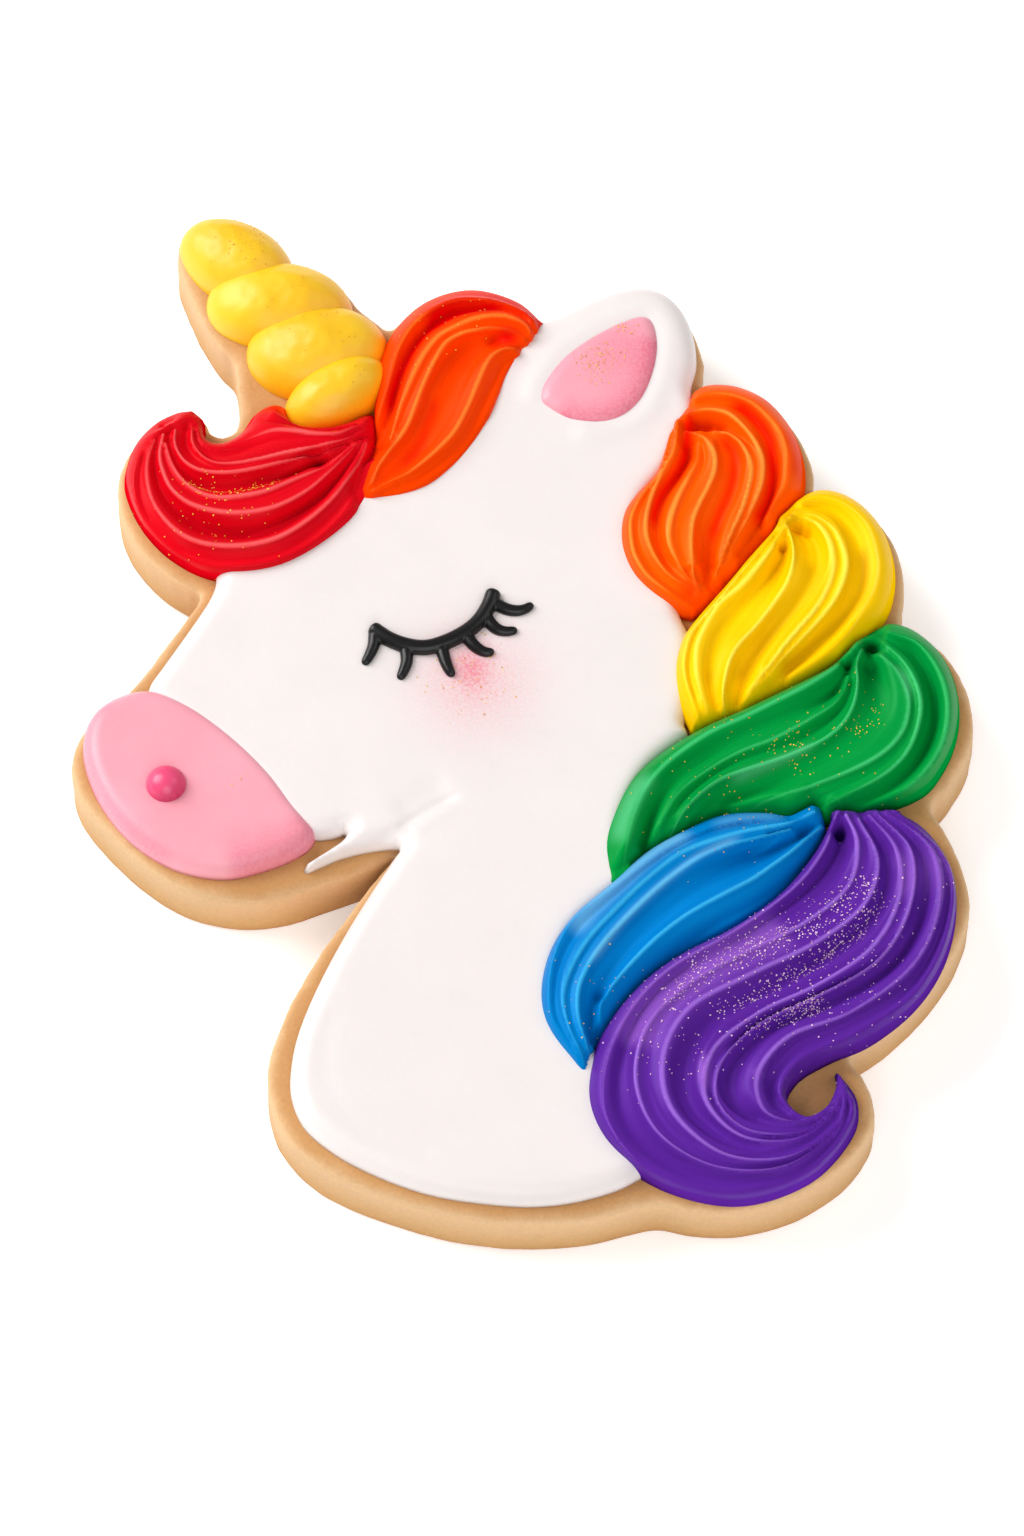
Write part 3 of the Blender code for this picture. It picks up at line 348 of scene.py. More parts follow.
            valley((0.3, 0.45, 0.4, 0.35), [(32.4, 5.3), (34, 3.5), (35, 1.4), (35.3, -0.8), (34.9, -3.2),
                (33.7, -5.2), (31.7, -7), (29.2, -8.2), (26, -9.3)]),
            ridge(SOFT, (0.9, 1, 1, 0.95, 0.85), [(32.6, 5.5), (34.2, 3.7), (35.3, 1.6), (35.8, -0.6),
                (35.6, -2.7), (34.8, -5.2), (33.5, -7), (31.7, -8.4), (29.2, -9.7), (26.7, -10.7)]),
            valley((0.8, 1.2, 1.4, 1.4, 1.1, 0.9), [(32.4, 6.8), (35, 5.3), (36.5, 3.1), (37.1, 0.7),
                (37.1, -1.9), (36.4, -4.3), (35.1, -6.5), (33.5, -8.1), (31.4, -9.3), (28.9, -10.2)]),
            ridge(ROUND, (0.88, 0.95, 0.97, 0.95, 0.85), [(33.2, 6.6), (35.6, 5.5), (37.2, 3.3), (38.1, 0.8),
                (38.3, -1.7), (37.8, -4.5), (36.5, -7), (34.9, -8.8), (32.8, -10.1), (30.6, -11)]),
        ]),
    "mane_blue": dict(
        crest=3.5, under=["mane_purple"],
        left=[(26, -9.9), (24, -10.9), (22, -10.6), (18.4, -10.7), (15.3, -11.9), (11, -14.6), (7.7, -18),
              (4.4, -21.3), (2.2, -25), (1.4, -29.3), (2.4, -32.9), (5.1, -36.6)],
        right=[(26.9, -10.4), (27.2, -13.2), (25.1, -17.1), (22.1, -20.6), (18.7, -23.1), (15.3, -25.2),
               (12.4, -27.5), (9.9, -30.1), (8, -33), (6.7, -35.4), (5.6, -37.1)],
        lines=[
            ridge(ROUND, (0.8, 0.8, 0.85, 0.9, 0.85, 0.8), [(23.6, -12.2), (21.2, -12.1), (18.2, -12.5),
                (15.5, -13.6), (13, -15), (10.6, -16.8), (8.5, -18.6), (6.4, -20.4), (4.5, -22.2),
                (3.3, -24.4), (2.6, -26.8), (2.4, -29.3), (2.6, -31.6), (3.5, -33.4), (4.6, -35.1),
                (5.6, -36.9)]),
            valley((0.5, 0.3, 0.25, 0.3, 0.35, 0.4), [(24, -11.8), (21.2, -12.2), (18.8, -12.7),
                (16.5, -13.3), (13.6, -14.9), (10.3, -17.6), (7.4, -20.6), (5, -23.4), (3.5, -26.1),
                (3, -28.8), (3.4, -31.6), (4.5, -34)]),
            ridge(ROUND, (0.95, 1, 1, 1, 0.95, 0.85), [(26.1, -11.6), (24.2, -12.6), (22.4, -13.1),
                (20.3, -13.5), (17.6, -14.3), (14.2, -15.8), (11, -18.5), (8.1, -21.6), (5.8, -24.4),
                (4.3, -27.2), (3.6, -29.8), (4, -32.5), (5, -34.9), (5.9, -37.1)]),
            valley((0.1, 0.2, 0.2, 0.3, 0.3), [(21.1, -13.2), (17.9, -14.1), (14.8, -15.6), (11.7, -18.1),
                (8.8, -21.2), (6.5, -24.1), (5, -26.8), (4.3, -29.2), (4.5, -32), (5.5, -34.5)]),
            ridge(THIN, (0.95, 0.95, 1.02, 1.02, 0.9), [(24, -13.3), (21, -14.2), (18.2, -15), (15.2, -16.6),
                (12.3, -19), (9.5, -22), (7.1, -24.9), (5.6, -27.4), (4.9, -29.6), (5, -32.3), (6, -35.3)]),
            valley((1.7, 1.6, 1.1, 0.9, 1, 1.1, 1.4), [(25.3, -12.7), (24, -13.4), (22.2, -14.6),
                (20.6, -15.4), (18.2, -16.6), (15.1, -18.9), (12.4, -21.2), (10, -23.6), (8.1, -26.1),
                (7, -27.9), (6.4, -29.8), (6.3, -32), (6.5, -33.8)]),
            ridge(THIN, (0.95, 1, 1, 1, 1, 0.85), [(26.9, -12.7), (25.8, -13.8), (24.2, -15.4),
                (22.4, -16.9), (20.6, -18.3), (18.2, -19.7), (16, -21), (14.2, -22.2), (12.1, -24),
                (10.3, -25.9), (8.8, -27.7), (7.7, -29.2), (7, -30.5), (6.9, -31.9)]),
            valley((0.5, 0.6, 0.5, 0.5, 0.4), [(26.6, -13.9), (25.1, -16.1), (23, -18.1), (20.6, -19.9),
                (18.2, -21.4), (15.8, -23.2), (13.6, -24.9), (11.5, -26.6), (9.4, -28.6), (8, -30.4)]),
            ridge(ROUND, (0.85, 0.85, 0.85, 0.85, 0.8), [(26.9, -14.9), (24.8, -17.9), (21.9, -20.8),
                (18.8, -22.9), (16, -24.6), (13.3, -26.4), (11, -28.3), (9.2, -30.3), (7.9, -32.5)]),
        ]),
    "mane_purple": dict(
        crest=3.7, under=[],
        left=[(27.9, -10.8), (27, -13.1), (25.4, -15.8), (22.6, -19.3), (18.9, -22.2), (14.6, -24.5),
              (10.8, -27.4), (7.7, -31.3), (5.9, -35.6), (5.7, -39.9), (7.9, -44.1), (12.8, -47.5),
              (19.2, -48.8), (25.3, -46.6), (29, -42.4), (29.6, -39), (27.9, -36.3)],
        right=[(33.4, -10.5), (36.3, -12.5), (38.4, -16.4), (38.7, -20.8), (37.5, -25.6), (34.9, -29.8),
               (31, -33.2), (27.3, -35), (24.6, -36.7), (23.4, -38.6), (23.9, -40), (25.2, -40.5),
               (26.5, -39.9), (27.3, -38.7), (27.7, -37.5), (27.7, -36.8), (27.6, -36.1)],
        lines=[
            ridge(ROUND, (0.95, 0.95, 0.95, 0.9, 0.9, 0.85, 0.6), [(28.2, -11.6), (26.8, -15.6), (24, -19.4),
                (18.6, -23.7), (13, -27.3), (9.3, -31.7), (7.3, -37), (7.6, -42.2), (11.2, -46.6),
                (17.6, -48.8), (24.6, -47), (28.9, -41.4), (27.9, -37)]),
            valley((1.9, 1.2, 1.1, 0.9, 0.9, 0.9, 0.7, 0.3), [(28.3, -12), (27.8, -15), (25.2, -19),
                (20.2, -23), (15, -26.2), (11, -30.2), (8.9, -35.2), (9, -40.4), (12.4, -44.9), (18.6, -47),
                (24.8, -45.2), (28.6, -40.2), (27.9, -36.2)]),
            ridge(THIN, (1, 1, 1, 1, 0.95, 0.9, 0.6), [(28.9, -12), (29.9, -15), (29, -19.2), (24.8, -23),
                (19.4, -25.9), (14.4, -29.1), (10.9, -33.2), (10, -38.4), (12, -43.3), (17, -46.4),
                (23, -46.3), (27.6, -42.6), (28.4, -38.4), (27.9, -37)]),
            valley((0.3, 0.35, 0.3, 0.4, 0.4, 0.4, 0.2), [(29.5, -11.6), (30.8, -15.6), (28.4, -20.8),
                (22.8, -24.6), (17, -27.6), (12.5, -31.5), (11.2, -37), (13.3, -42.4), (18.8, -45.4),
                (25, -43.8), (28.3, -39.4), (27.9, -36.2)]),
            ridge(SOFT, (0.95, 1, 1, 1, 1, 0.9, 0.6), [(30, -12.4), (31.7, -16.6), (30.4, -21), (26, -24.8),
                (20.2, -27.9), (14.7, -31.2), (12.4, -36), (13.2, -41.2), (17.6, -45.2), (23.4, -45.4),
                (27.8, -41.8), (28.2, -38.4), (27.9, -37)]),
            valley((0.9, 1.2, 1.3, 1.2, 1.3, 1, 0.8, 0.2), [(30.4, -11.4), (32.4, -16), (31.3, -21.1),
                (27.4, -25.1), (22, -28.6), (16.8, -31.6), (14.3, -36), (15, -40.6), (19.4, -43.9),
                (24.8, -42.8), (28, -39), (27.9, -36.2)]),
            ridge(SOFT, (0.9, 1, 1, 1, 1, 0.9, 0.6), [(31, -11.9), (33.4, -15.6), (33.5, -20.4),
                (31.1, -25.1), (26.4, -28.7), (20.9, -31.6), (16.9, -35.2), (16.1, -40), (19.2, -43.5),
                (24.2, -43.6), (27.7, -40.3), (27.9, -37)]),
            valley((0.3, 0.3, 0.3, 0.3, 0.3, 0.3, 0.1), [(31.3, -11), (34, -14.9), (34, -20), (31.4, -24.8),
                (26.4, -28.4), (21, -31.2), (17.3, -34.8), (16.6, -39.2), (19.6, -42.4), (24.4, -42.4),
                (27.6, -39.4), (27.9, -36.2)]),
            ridge(THIN, (0.9, 1, 1, 0.95, 0.95, 0.9, 0.6), [(31.6, -11.6), (34.7, -15.8), (34.4, -21.4),
                (31.6, -26.4), (26.4, -29.8), (21.2, -32.5), (17.7, -36.1), (17.1, -40), (19.9, -42.9),
                (24.5, -42.9), (27.5, -40.1), (27.9, -37)]),
            valley((0.5, 1.1, 1.5, 1.4, 1.3, 1.1, 0.9, 0.2), [(32, -10.7), (35.6, -15.2), (35.5, -21),
                (32.2, -26.6), (26.2, -30.1), (21, -32.8), (18.3, -36.4), (18.7, -40.2), (22.8, -41.9),
                (26.5, -40.5), (27.8, -37.6), (27.9, -36.2)]),
            ridge(ROUND, (0.85, 0.95, 0.95, 0.95, 1, 0.9, 0.6), [(32.5, -11.4), (36.6, -15.6), (37, -21.2),
                (34.6, -26.9), (29.2, -31.4), (23.6, -33.9), (20.7, -37.6), (21.4, -41.2), (25, -41.9),
                (27.2, -39.9), (27.9, -37)]),
            valley((0.4, 0.5, 0.6, 0.8, 0.8, 0.8, 0.7, 0.2), [(33, -10.5), (37.4, -15.2), (37.6, -21.2),
                (34.7, -27.6), (29, -31.8), (23.8, -34.3), (21.8, -38), (23.6, -40.8), (26.5, -40.1),
                (27.7, -37.6), (27.9, -36.2)]),
            ridge(ROUND, (0.8, 0.85, 0.85, 0.85, 0.85, 0.85, 0.6), [(33.3, -11.3), (37.8, -16.3),
                (38, -22.3), (34.9, -29.2), (29.2, -33.4), (24.5, -35.9), (22.7, -39.2), (24.9, -41.5),
                (27.3, -39.7), (27.9, -37)]),
        ]),
}

# What the lobes have besides ridges: pits as spots, a second colour, which is painted shade in some lobes and
# painted sheen in others, and glitter as strokes and spots
FINISHING = {
    "forelock_red": dict(
        pits=[(-18.6, 24.7, 0.8, -1.1)],
        tint=([([(-25.5, 30), (-22.5, 30.4), (-19, 29.6), (-15, 29.6)], 0.9, 0.9)], []),
        glitter=([([(-31.4, 22.8), (-28, 21.4), (-25, 21.4), (-21, 22.8)], 0.7, 5)],
            [(-26, 18.5, 4, 0.5), (-30, 20, 3, 0.7)])),
    "forelock_orange": dict(
        pits=[(-2.6, 37.3, 0.7, -0.7)],
        # second colour: the icing's own red along the top strand, and painted shade, dark red, in the valleys
        # below it
        tint=([([(2.4, 38.2), (1.6, 39.4), (-0.4, 41), (-3.4, 41.8), (-6.6, 41), (-9.4, 38.6)], 1.1, 0.85),
            ([(-1.2, 40.5), (-4.6, 40.3), (-6.9, 39.6), (-9, 38), (-10.5, 35.5), (-11.7, 32.3),
                (-12.2, 29)], 0.6, 1),
            ([(0.6, 37.4), (-1.5, 37.6), (-3.4, 37.6)], 0.9, 1),
            ([(-7.6, 32), (-8.5, 29), (-9.6, 26), (-11.5, 23.6)], 0.6, 0.5)], []),
        glitter=([], [(-5, 40.6, 2.5, 0.5), (-9, 36, 3, 0.3)])),
    "mane_orange": dict(
        pits=[(15.7, 28.4, 0.7, -1.6), (17, 28.2, 0.7, -1.3), (18.2, 28, 0.5, -0.8)],
        # second colour: painted shade, dark red, in the valleys and at the tip
        tint=([([(15.6, 30.6), (15.2, 27.9), (14.7, 24.5), (12.9, 21.3), (12.1, 19), (11.9, 16.8)], 0.55, 1),
            ([(17.4, 27.6), (19.3, 25.6), (19.4, 23.6), (18.9, 21.4), (17.9, 18.8), (17, 15.9)], 0.6, 0.8),
            ([(18.4, 30.9), (20.6, 29.7), (22.4, 27.4), (22.9, 25.2), (22.9, 22.6), (22.3, 20.2),
                (20.8, 17.6)], 0.6, 1),
            ([(24, 28.5), (25.2, 25.5), (25, 22)], 0.9, 0.5)],
            [(15.2, 11, 1.2, 0.6)])),
    "mane_yellow": dict(
        pits=[(25.3, 17.9, 0.55, -1.1), (26.1, 17.4, 0.45, -0.8), (23.7, 15.8, 0.45, -1.1)],
        # second colour: painted shade, olive, in the valleys, in the root's hollow and along the lower right
        # edge
        tint=([([(30.8, 16.2), (31.1, 13), (30.3, 10), (28, 7.2), (25.3, 4.7), (22.6, 2.5)], 0.5, 0.8),
            ([(26.3, 15), (26, 12.7), (24.6, 9.8), (22.9, 7.3), (21.5, 5.4), (20.3, 3.4),
                (19, 1.2)], 0.6, 0.7),
            ([(17.1, 4), (16.9, 2), (16.7, 0.5)], 0.4, 0.4),
            ([(29, 4.6), (25.4, 2), (21, -0.4)], 0.7, 0.8)],
            [(24.4, 18.6, 0.9, 0.7)])),
    "mane_green": dict(
        pits=[(31.7, 5.4, 0.75, -2), (29.3, 3.7, 0.55, -1.5)],
        # second colour: painted sheen, pale mint, on the lower left flank and along two crests
        tint=([([(12, -7.4), (10.2, -9.6), (9, -12.4), (8.4, -15.2)], 0.8, 0.42),
            ([(33.4, 3.6), (34.6, 1.6), (34.9, -1)], 0.35, 0.4),
            ([(18, -8.6), (22.8, -6.6), (26.9, -4.5)], 0.4, 0.35)], []),
        glitter=([([(21, -4.9), (23.5, -4.2), (26, -2.4)], 0.9, 4),
            ([(27.5, -4.4), (30.2, -3.2), (31.4, -1.6), (32.2, 0.6)], 0.8, 3),
            ([(23.6, -7.4), (26.4, -5.9)], 0.8, 3.5)],
            [(24, -4, 6, 0.35), (17, -8.5, 5, 0.25)])),
    "mane_blue": dict(
        pits=[(25, -13, 0.8, -0.5), (6.9, -29.4, 0.6, -0.5)],
        # second colour: painted sheen, pale blue, on the left edge, at the root and along a crest
        tint=([([(15.5, -13), (12, -15), (9, -18), (6, -21.3), (4.3, -24)], 0.9, 0.6),
            ([(24, -11.6), (20, -11.8), (16.5, -12.8)], 0.7, 0.25),
            ([(20, -13.9), (15.2, -16.4), (9.5, -21.9), (5.6, -27.2)], 0.3, 0.5)], []),
        glitter=([], [(18, -12.5, 5, 0.25), (5, -30, 4, 0.2)])),
    "mane_purple": dict(
        pits=[(28.3, -13.3, 0.6, -1.8)],
        # second colour: painted sheen, pale purple, on the broad lower left band, and painted highlights on
        # crests
        tint=([([(24, -22.8), (19, -25.4), (14.6, -28.4), (11.4, -31.4), (9.6, -35.4)], 1.9, 0.6),
            ([(33.2, -15), (34.2, -18), (33.6, -21)], 0.7, 0.35),
            ([(16.1, -35), (15.9, -37.6), (16.3, -39.6)], 0.45, 0.7),
            ([(20.8, -36.6), (20.4, -38.4)], 0.45, 0.6)],
            [(37, -17, 2.4, 0.3)]),
        glitter=([([(30.2, -18.6), (28.6, -21.4), (24.8, -23.4), (20, -25.6), (15.6, -27.8),
                (12, -31)], 1.5, 4.8),
            ([(32.3, -18.6), (31.3, -21.3), (29.6, -23.5), (27.4, -25.3), (24.8, -27), (22, -28.8),
                (19, -30.3), (16.4, -31.8)], 0.6, 7),
            ([(27, -30.2), (24.4, -31.2), (21.6, -32.4), (19, -33.6)], 0.6, 7)],
            [(30.4, -19, 0.9, 10), (26, -30.4, 0.9, 9), (21, -25.4, 0.9, 5), (22, -27, 7, 0.9),
             (12, -34, 4, 0.8), (30, -25, 6, 0.4)])),
}


def blend(a, b, c, d, part):
    """The Catmull-Rom curve between b and c."""
    bend, twist = 2 * a - 5 * b + 4 * c - d, 3 * b - a - 3 * c + d
    return 0.5 * (2 * b + (c - a) * part + bend * part**2 + twist * part**3)


def along(values, places):
    """Values read smoothly along an open row, at places from 0 to 1."""
    row = np.asarray(values, float).reshape(len(values), -1)
    row = np.vstack([2 * row[0] - row[1], row, 2 * row[-1] - row[-2]])
    spans = len(values) - 1
    at = np.clip(np.asarray(places) * spans, 0, spans - 1e-9)
    start = at.astype(int)
    return blend(row[start], row[start + 1], row[start + 2], row[start + 3], (at - start)[:, None])


def smoothed(path, fineness=7):
    """A drawn path as a smooth one, with so many points for each of its own."""
    return along(path, np.linspace(0, 1, fineness * len(path)))


def travelled(path):
    """Distance run at each point of a path."""
    return np.concatenate([[0], np.cumsum(np.linalg.norm(np.diff(path, axis=0), axis=1))])


def evenly(path, step, endpoint=True):
    """Points about every step millimetres along a path, with or without its last one."""
    reach = travelled(path)
    wanted = np.linspace(0, reach[-1], int(reach[-1] / step), endpoint=endpoint)
    return np.column_stack([np.interp(wanted, reach, path[:, axis]) for axis in (0, 1)])


def closed_outline(points, step):
    """A smooth closed outline through the points, with a corner about every step millimetres."""
    row = np.asarray(points, float)
    parts = np.arange(12) / 12
    spans = [np.roll(row, shift, axis=0) for shift in (1, 0, -1, -2)]
    fine = np.concatenate([blend(*corners, parts[:, None]) for corners in zip(*spans)])
    return evenly(np.vstack([fine, fine[:1]]), step, endpoint=False)


def inward_normals(outline):
    """Unit normals that point into a closed outline."""
    ahead = np.roll(outline, -1, axis=0)
    area = np.sum(outline[:, 0] * ahead[:, 1] - ahead[:, 0] * outline[:, 1])
    tangent = ahead - np.roll(outline, 1, axis=0)
    tangent /= np.linalg.norm(tangent, axis=1)[:, None]
    return np.sign(area) * np.column_stack([-tangent[:, 1], tangent[:, 0]])


def distance_to(points, path, closed=False):
    """Distance of each plan point to a path, and how far along it the nearest place is, from 0 to 1."""
    path = np.vstack([path, path[:1]]) if closed else np.asarray(path, float)
    start, run = path[:-1], np.diff(path, axis=0)
    square = np.maximum((run**2).sum(axis=1), 1e-12)
    reach = travelled(path)
    nearest, place = [], []
    for chunk in np.array_split(np.asarray(points, float)[:, :2], max(1, len(points) // 4000)):
        offset = chunk[:, None] - start
        part = np.clip((offset * run).sum(axis=2) / square, 0, 1)
        gap = np.linalg.norm(offset - part[..., None] * run, axis=2)
        best = gap.argmin(axis=1)
        row = np.arange(len(chunk))
        nearest.append(gap[row, best])
        place.append((reach[best] + part[row, best] * (reach[best + 1] - reach[best])) / reach[-1])
    return np.concatenate(nearest), np.concatenate(place)


def is_inside(points, outline):
    """Whether each plan point lies inside a closed outline."""
    inside = np.zeros(len(points), bool)
    x, y = np.asarray(points, float)[:, :2].T
    for (x1, y1), (x2, y2) in zip(outline, np.roll(outline, -1, axis=0)):
        if y1 != y2:
            inside ^= ((y1 > y) != (y2 > y)) & (x < x1 + (y - y1) * (x2 - x1) / (y2 - y1))
    return inside


def signed_distance(points, outline):
    """Distance to a closed outline, negative inside it."""
    gap, _ = distance_to(points, outline, closed=True)
    return np.where(is_inside(points, outline), -gap, gap)


def quarter(share):
    """A quarter circle's rise, from 0 upright to 1 level, as share runs from 0 to 1."""
    return np.sqrt(1 - (1 - np.clip(share, 0, 1)) ** 2)


def painted(points, strokes=(), spots=()):
    """Amounts laid on plan points: strokes are (path, half width, amount), spots (x, y, radius, amount)."""
    total = np.zeros(len(points))
    for path, width, amount in strokes:
        smooth = smoothed(path, 8)
        gap, place = distance_to(points, smooth)
        ends = np.clip(np.minimum(place, 1 - place) * travelled(smooth)[-1] / STROKE_END, 0, 1)
        total += amount * ends**2 * (3 - 2 * ends) * np.exp(-((gap / width) ** 2))
    for x, y, radius, amount in spots:
        gap = np.hypot(points[:, 0] - x, points[:, 1] - y)
        total += amount * np.exp(-((gap / radius) ** 2))
    return total


CENTRE_OUTLINE = closed_outline(BISCUIT, 2.3)
CENTRE = (CENTRE_OUTLINE.min(axis=0) + CENTRE_OUTLINE.max(axis=0)) / 2


def in_place(points):
    """Drawing millimetres to metres, with the biscuit's middle at the origin."""
    placed = np.array(points, float)
    placed[:, :2] -= CENTRE
    return placed * MM


def add_object(name, data):
    """A new object in the scene."""
    made = bpy.data.objects.new(name, data)
    bpy.context.scene.collection.objects.link(made)
    return made


def evaluated_mesh(piece):
    """A new mesh of a curve, or of what a piece's modifiers give."""
    return bpy.data.meshes.new_from_object(piece.evaluated_get(bpy.context.evaluated_depsgraph_get()))


def settle(piece):
    """Turn a piece into the mesh that its modifiers give, all in its first material, and remove them."""
    mesh = evaluated_mesh(piece)
    mesh.polygons.foreach_set("material_index", np.zeros(len(mesh.polygons), np.int32))
    piece.modifiers.clear()
    piece.data = mesh
    return piece


def mesh_piece(name, points, faces, flow=None, **amounts):
    """An object of drawing points, faces turned outwards, with flow coordinates and amounts at its points."""
    mesh = bpy.data.meshes.new(name)
    mesh.from_pydata(in_place(points).tolist(), [], faces)
    for key, values in amounts.items():
        mesh.attributes.new(key, "FLOAT", "POINT").data.foreach_set("value", np.asarray(values, np.float32))
    if flow is not None:
        corners = np.empty(len(mesh.loops), np.int32)
        mesh.loops.foreach_get("vertex_index", corners)
        layer = mesh.uv_layers.new(name="flow")
        layer.data.foreach_set("uv", np.asarray(flow, np.float32)[corners].ravel())
    built = bmesh.new()
    built.from_mesh(mesh)
    bmesh.ops.recalc_face_normals(built, faces=built.faces)
    for face in built.faces:
        face.smooth = True
    built.to_mesh(mesh)
    built.free()
    mesh.update()
    return add_object(name, mesh)


def triangulated(points, count):
    """Delaunay triangles over plan points, within the closed outline that the first count of them make."""
    return delaunay_2d_cdt([Vector(point) for point in points], [], [list(range(count))], 1, 1e-6)


def filled(ring, index):
    """Triangles that close a ring of plan points, given as the ring's own point numbers."""
    made = triangulated(ring, len(ring))
    return [[int(index[made[3][corner][0]]) for corner in face] for face in made[2]]


def edge_rings(outline, depths):
    """A closed outline and its copies at some depths inside it, left open where corners are too tight."""
    inward = inward_normals(outline)
    rings = [outline]
    for depth in depths:
        ring = outline + inward * depth
        rings.append(ring[signed_distance(ring, outline) < -0.97 * depth])
    return rings


def honeycomb(outline, step, margin):
    """Plan points in a honeycomb, step millimetres apart and at least a margin inside a closed outline."""
    low_corner, high_corner = outline.min(axis=0), outline.max(axis=0)
    grid_x, grid_y = np.meshgrid(np.arange(low_corner[0], high_corner[0], step),
                                 np.arange(low_corner[1], high_corner[1], step * 0.87))
    grid_x[::2] += step / 2
    inner = np.column_stack([grid_x.ravel(), grid_y.ravel()])
    return inner[signed_distance(inner, outline) < -margin]


def sheet(outline, rows):
    """A sheet over rows of plan points in an outline: its points, their depths inside it and its faces."""
    made = triangulated(np.concatenate(rows), len(outline))
    plan = np.array([tuple(point) for point in made[0]])
    gap = np.abs(signed_distance(plan, outline))
    gap[:len(outline)] = 0
    return plan, gap, [list(face) for face in made[2]] + filled(outline, range(len(outline)))


def stacked(levels, count):
    """Point numbers of rings stacked on each other, and the four-sided faces between them."""
    index = np.arange(levels * count).reshape(levels, count)
    ahead = np.roll(index, -1, axis=1)
    return index, np.stack([index[:-1], ahead[:-1], ahead[1:], index[1:]], axis=2).reshape(-1, 4).tolist()


def among_lines(plan, lines, crest):
    """How plan points lie among a lobe's lines: nearness to ridges and valleys, heights, depths and flow."""
    found = {"ridge": [], "valley": []}
    for number, (kind, path, amounts, sharpness) in enumerate(lines):
        fine = smoothed(path)
        away, place = distance_to(plan, fine)
        amount = along(amounts, place)[:, 0] * (crest if kind == "ridge" else 1)
        found[kind].append([away, amount, place * travelled(fine)[-1], np.full(len(plan), number),
                            np.full(len(plan), sharpness or 1)])
    blended = {}
    for kind, rows in found.items():
        away, *rest = np.array(rows).transpose(1, 0, 2)
        near = 1 / (away + 0.02) ** 6
        share = near / near.sum(axis=0)
        blended[kind] = [near.sum(axis=0) ** (-1 / 6) - 0.02, *[(share * row).sum(axis=0) for row in rest]]
    return blended["ridge"], blended["valley"]


def outline_of(name):
    """A lobe's or a horn bead's edge in the drawing, as one closed outline."""
    places = np.linspace(0, 1, 60)
    if name in LOBES:
        return np.vstack([along(LOBES[name]["left"], places), along(LOBES[name]["right"], places)[::-1]])
    centre, half_length, half_width, turn = HORN[int(name[-1]) - 1]
    angle, around = np.radians(turn), 2 * np.pi * places[:-1]
    x, y = half_length * np.cos(around), half_width * np.sin(around)
    turned = [x * np.cos(angle) - y * np.sin(angle), x * np.sin(angle) + y * np.cos(angle)]
    return np.column_stack(turned) + centre


def lobe_points(outline, lines):
    """Rows of plan points for a lobe: its edge, and inside it a honeycomb with a row along each ridge."""
    inner = honeycomb(outline, LOBE_STEP, LOBE_CORE)
    ridges = [path for kind, path, _, _ in lines if kind == "ridge"]
    for path in ridges:
        inner = inner[distance_to(inner, smoothed(path))[0] > 0.6 * LOBE_STEP]
    for path in ridges:
        row = evenly(along(path, np.linspace(0, 1, 400)), LOBE_STEP)
        inner = np.vstack([inner, row[signed_distance(row, outline) < -0.6]])
    # where ridges meet, one point in each 0.1 mm is enough
    _, apart = np.unique(np.round(inner / 0.1), axis=0, return_index=True)
    return [*edge_rings(outline, LOBE_RINGS), inner[np.sort(apart)]]


def piped_lobe(name, drawing):
    """One piped lobe: a fine sheet over its outline, high along its ridges and low along its valleys."""
    shape = {**LOBES[drawing], **FINISHING[drawing]}
    outline = closed_outline(outline_of(drawing), 0.2)
    plan, gap, faces = sheet(outline, lobe_points(outline, shape["lines"]))
    (to_ridge, height, reach, ridge_at, sharpness), (to_valley, depth, _, valley_at, _) = among_lines(
        plan, shape["lines"], shape["crest"])
    share = (to_ridge / (to_ridge + to_valley + 1e-6)).clip(0, 1)
    fall = (1 - np.cos(np.pi * share**sharpness)) / 2
    bulk = height - np.minimum(depth, STEEPEST * (to_ridge + to_valley)) * fall
    # a groove over the white icing never cuts down to it
    over_white = np.clip(0.5 - signed_distance(plan, closed_outline(WHITE, 0.6)), 0, 1)
    least = (RIM + (WHITE_HIGH - 0.5) * over_white) * quarter(gap / RIM)
    body = (bulk / shape["crest"]).clip(0, 1)
    bulk = np.maximum(bulk * quarter(gap / (gap + 0.9 * to_ridge + 0.25)), least)
    side = STRAND_WIDE * (ridge_at + (valley_at - ridge_at) * share)
    full = (bulk / shape["crest"]).clip(0, 1)
    drag = np.array([noise.noise(Vector((across * 1.9, length * 0.09, 3.1)))
                     for across, length in zip(side, reach)])
    hollow = painted(plan, (), shape["pits"])
    bulk += full * (DRAG_HIGH * drag + hollow)
    bulk = np.maximum(bulk, least)
    # painted light in the tone: darker where the icing lies low, in valleys, pits and rims, as painted shade,
    # brighter along each crest's line as painted highlight
    line = np.exp(-((to_ridge / CREST_LINE) ** 2))
    lit = 0.8 + 0.2 * line
    crest = full * lit + 0.3 * hollow
    tone = (0.7 * body + 0.3 * full) * lit + 0.3 * hollow
    # the lobe sinks where a neighbour lies on it and rises again within 1.3 mm of that one's edge
    for upper in shape["under"]:
        over = signed_distance(plan, outline_of(upper))
        bulk *= np.where(over > 0, 0.5 + 0.5 * quarter(over / 1.3), np.clip(0.5 + 0.25 * over, 0.2, 1))
        bulk = np.where(over > 0, np.maximum(bulk, least), bulk)
    bulk[:len(outline)] = 0
    points = np.column_stack([plan, BISCUIT_TOP - 0.05 + np.maximum(bulk, 0)])
    paint = {key: painted(plan, *shape.get(key, ((), ()))) for key in ("tint", "glitter")}
    return mesh_piece(name, points, faces, np.column_stack([side, reach]) / FLOW_UNIT, crest=crest.clip(0, 1),
                      tone=tone.clip(0, 1), **paint)


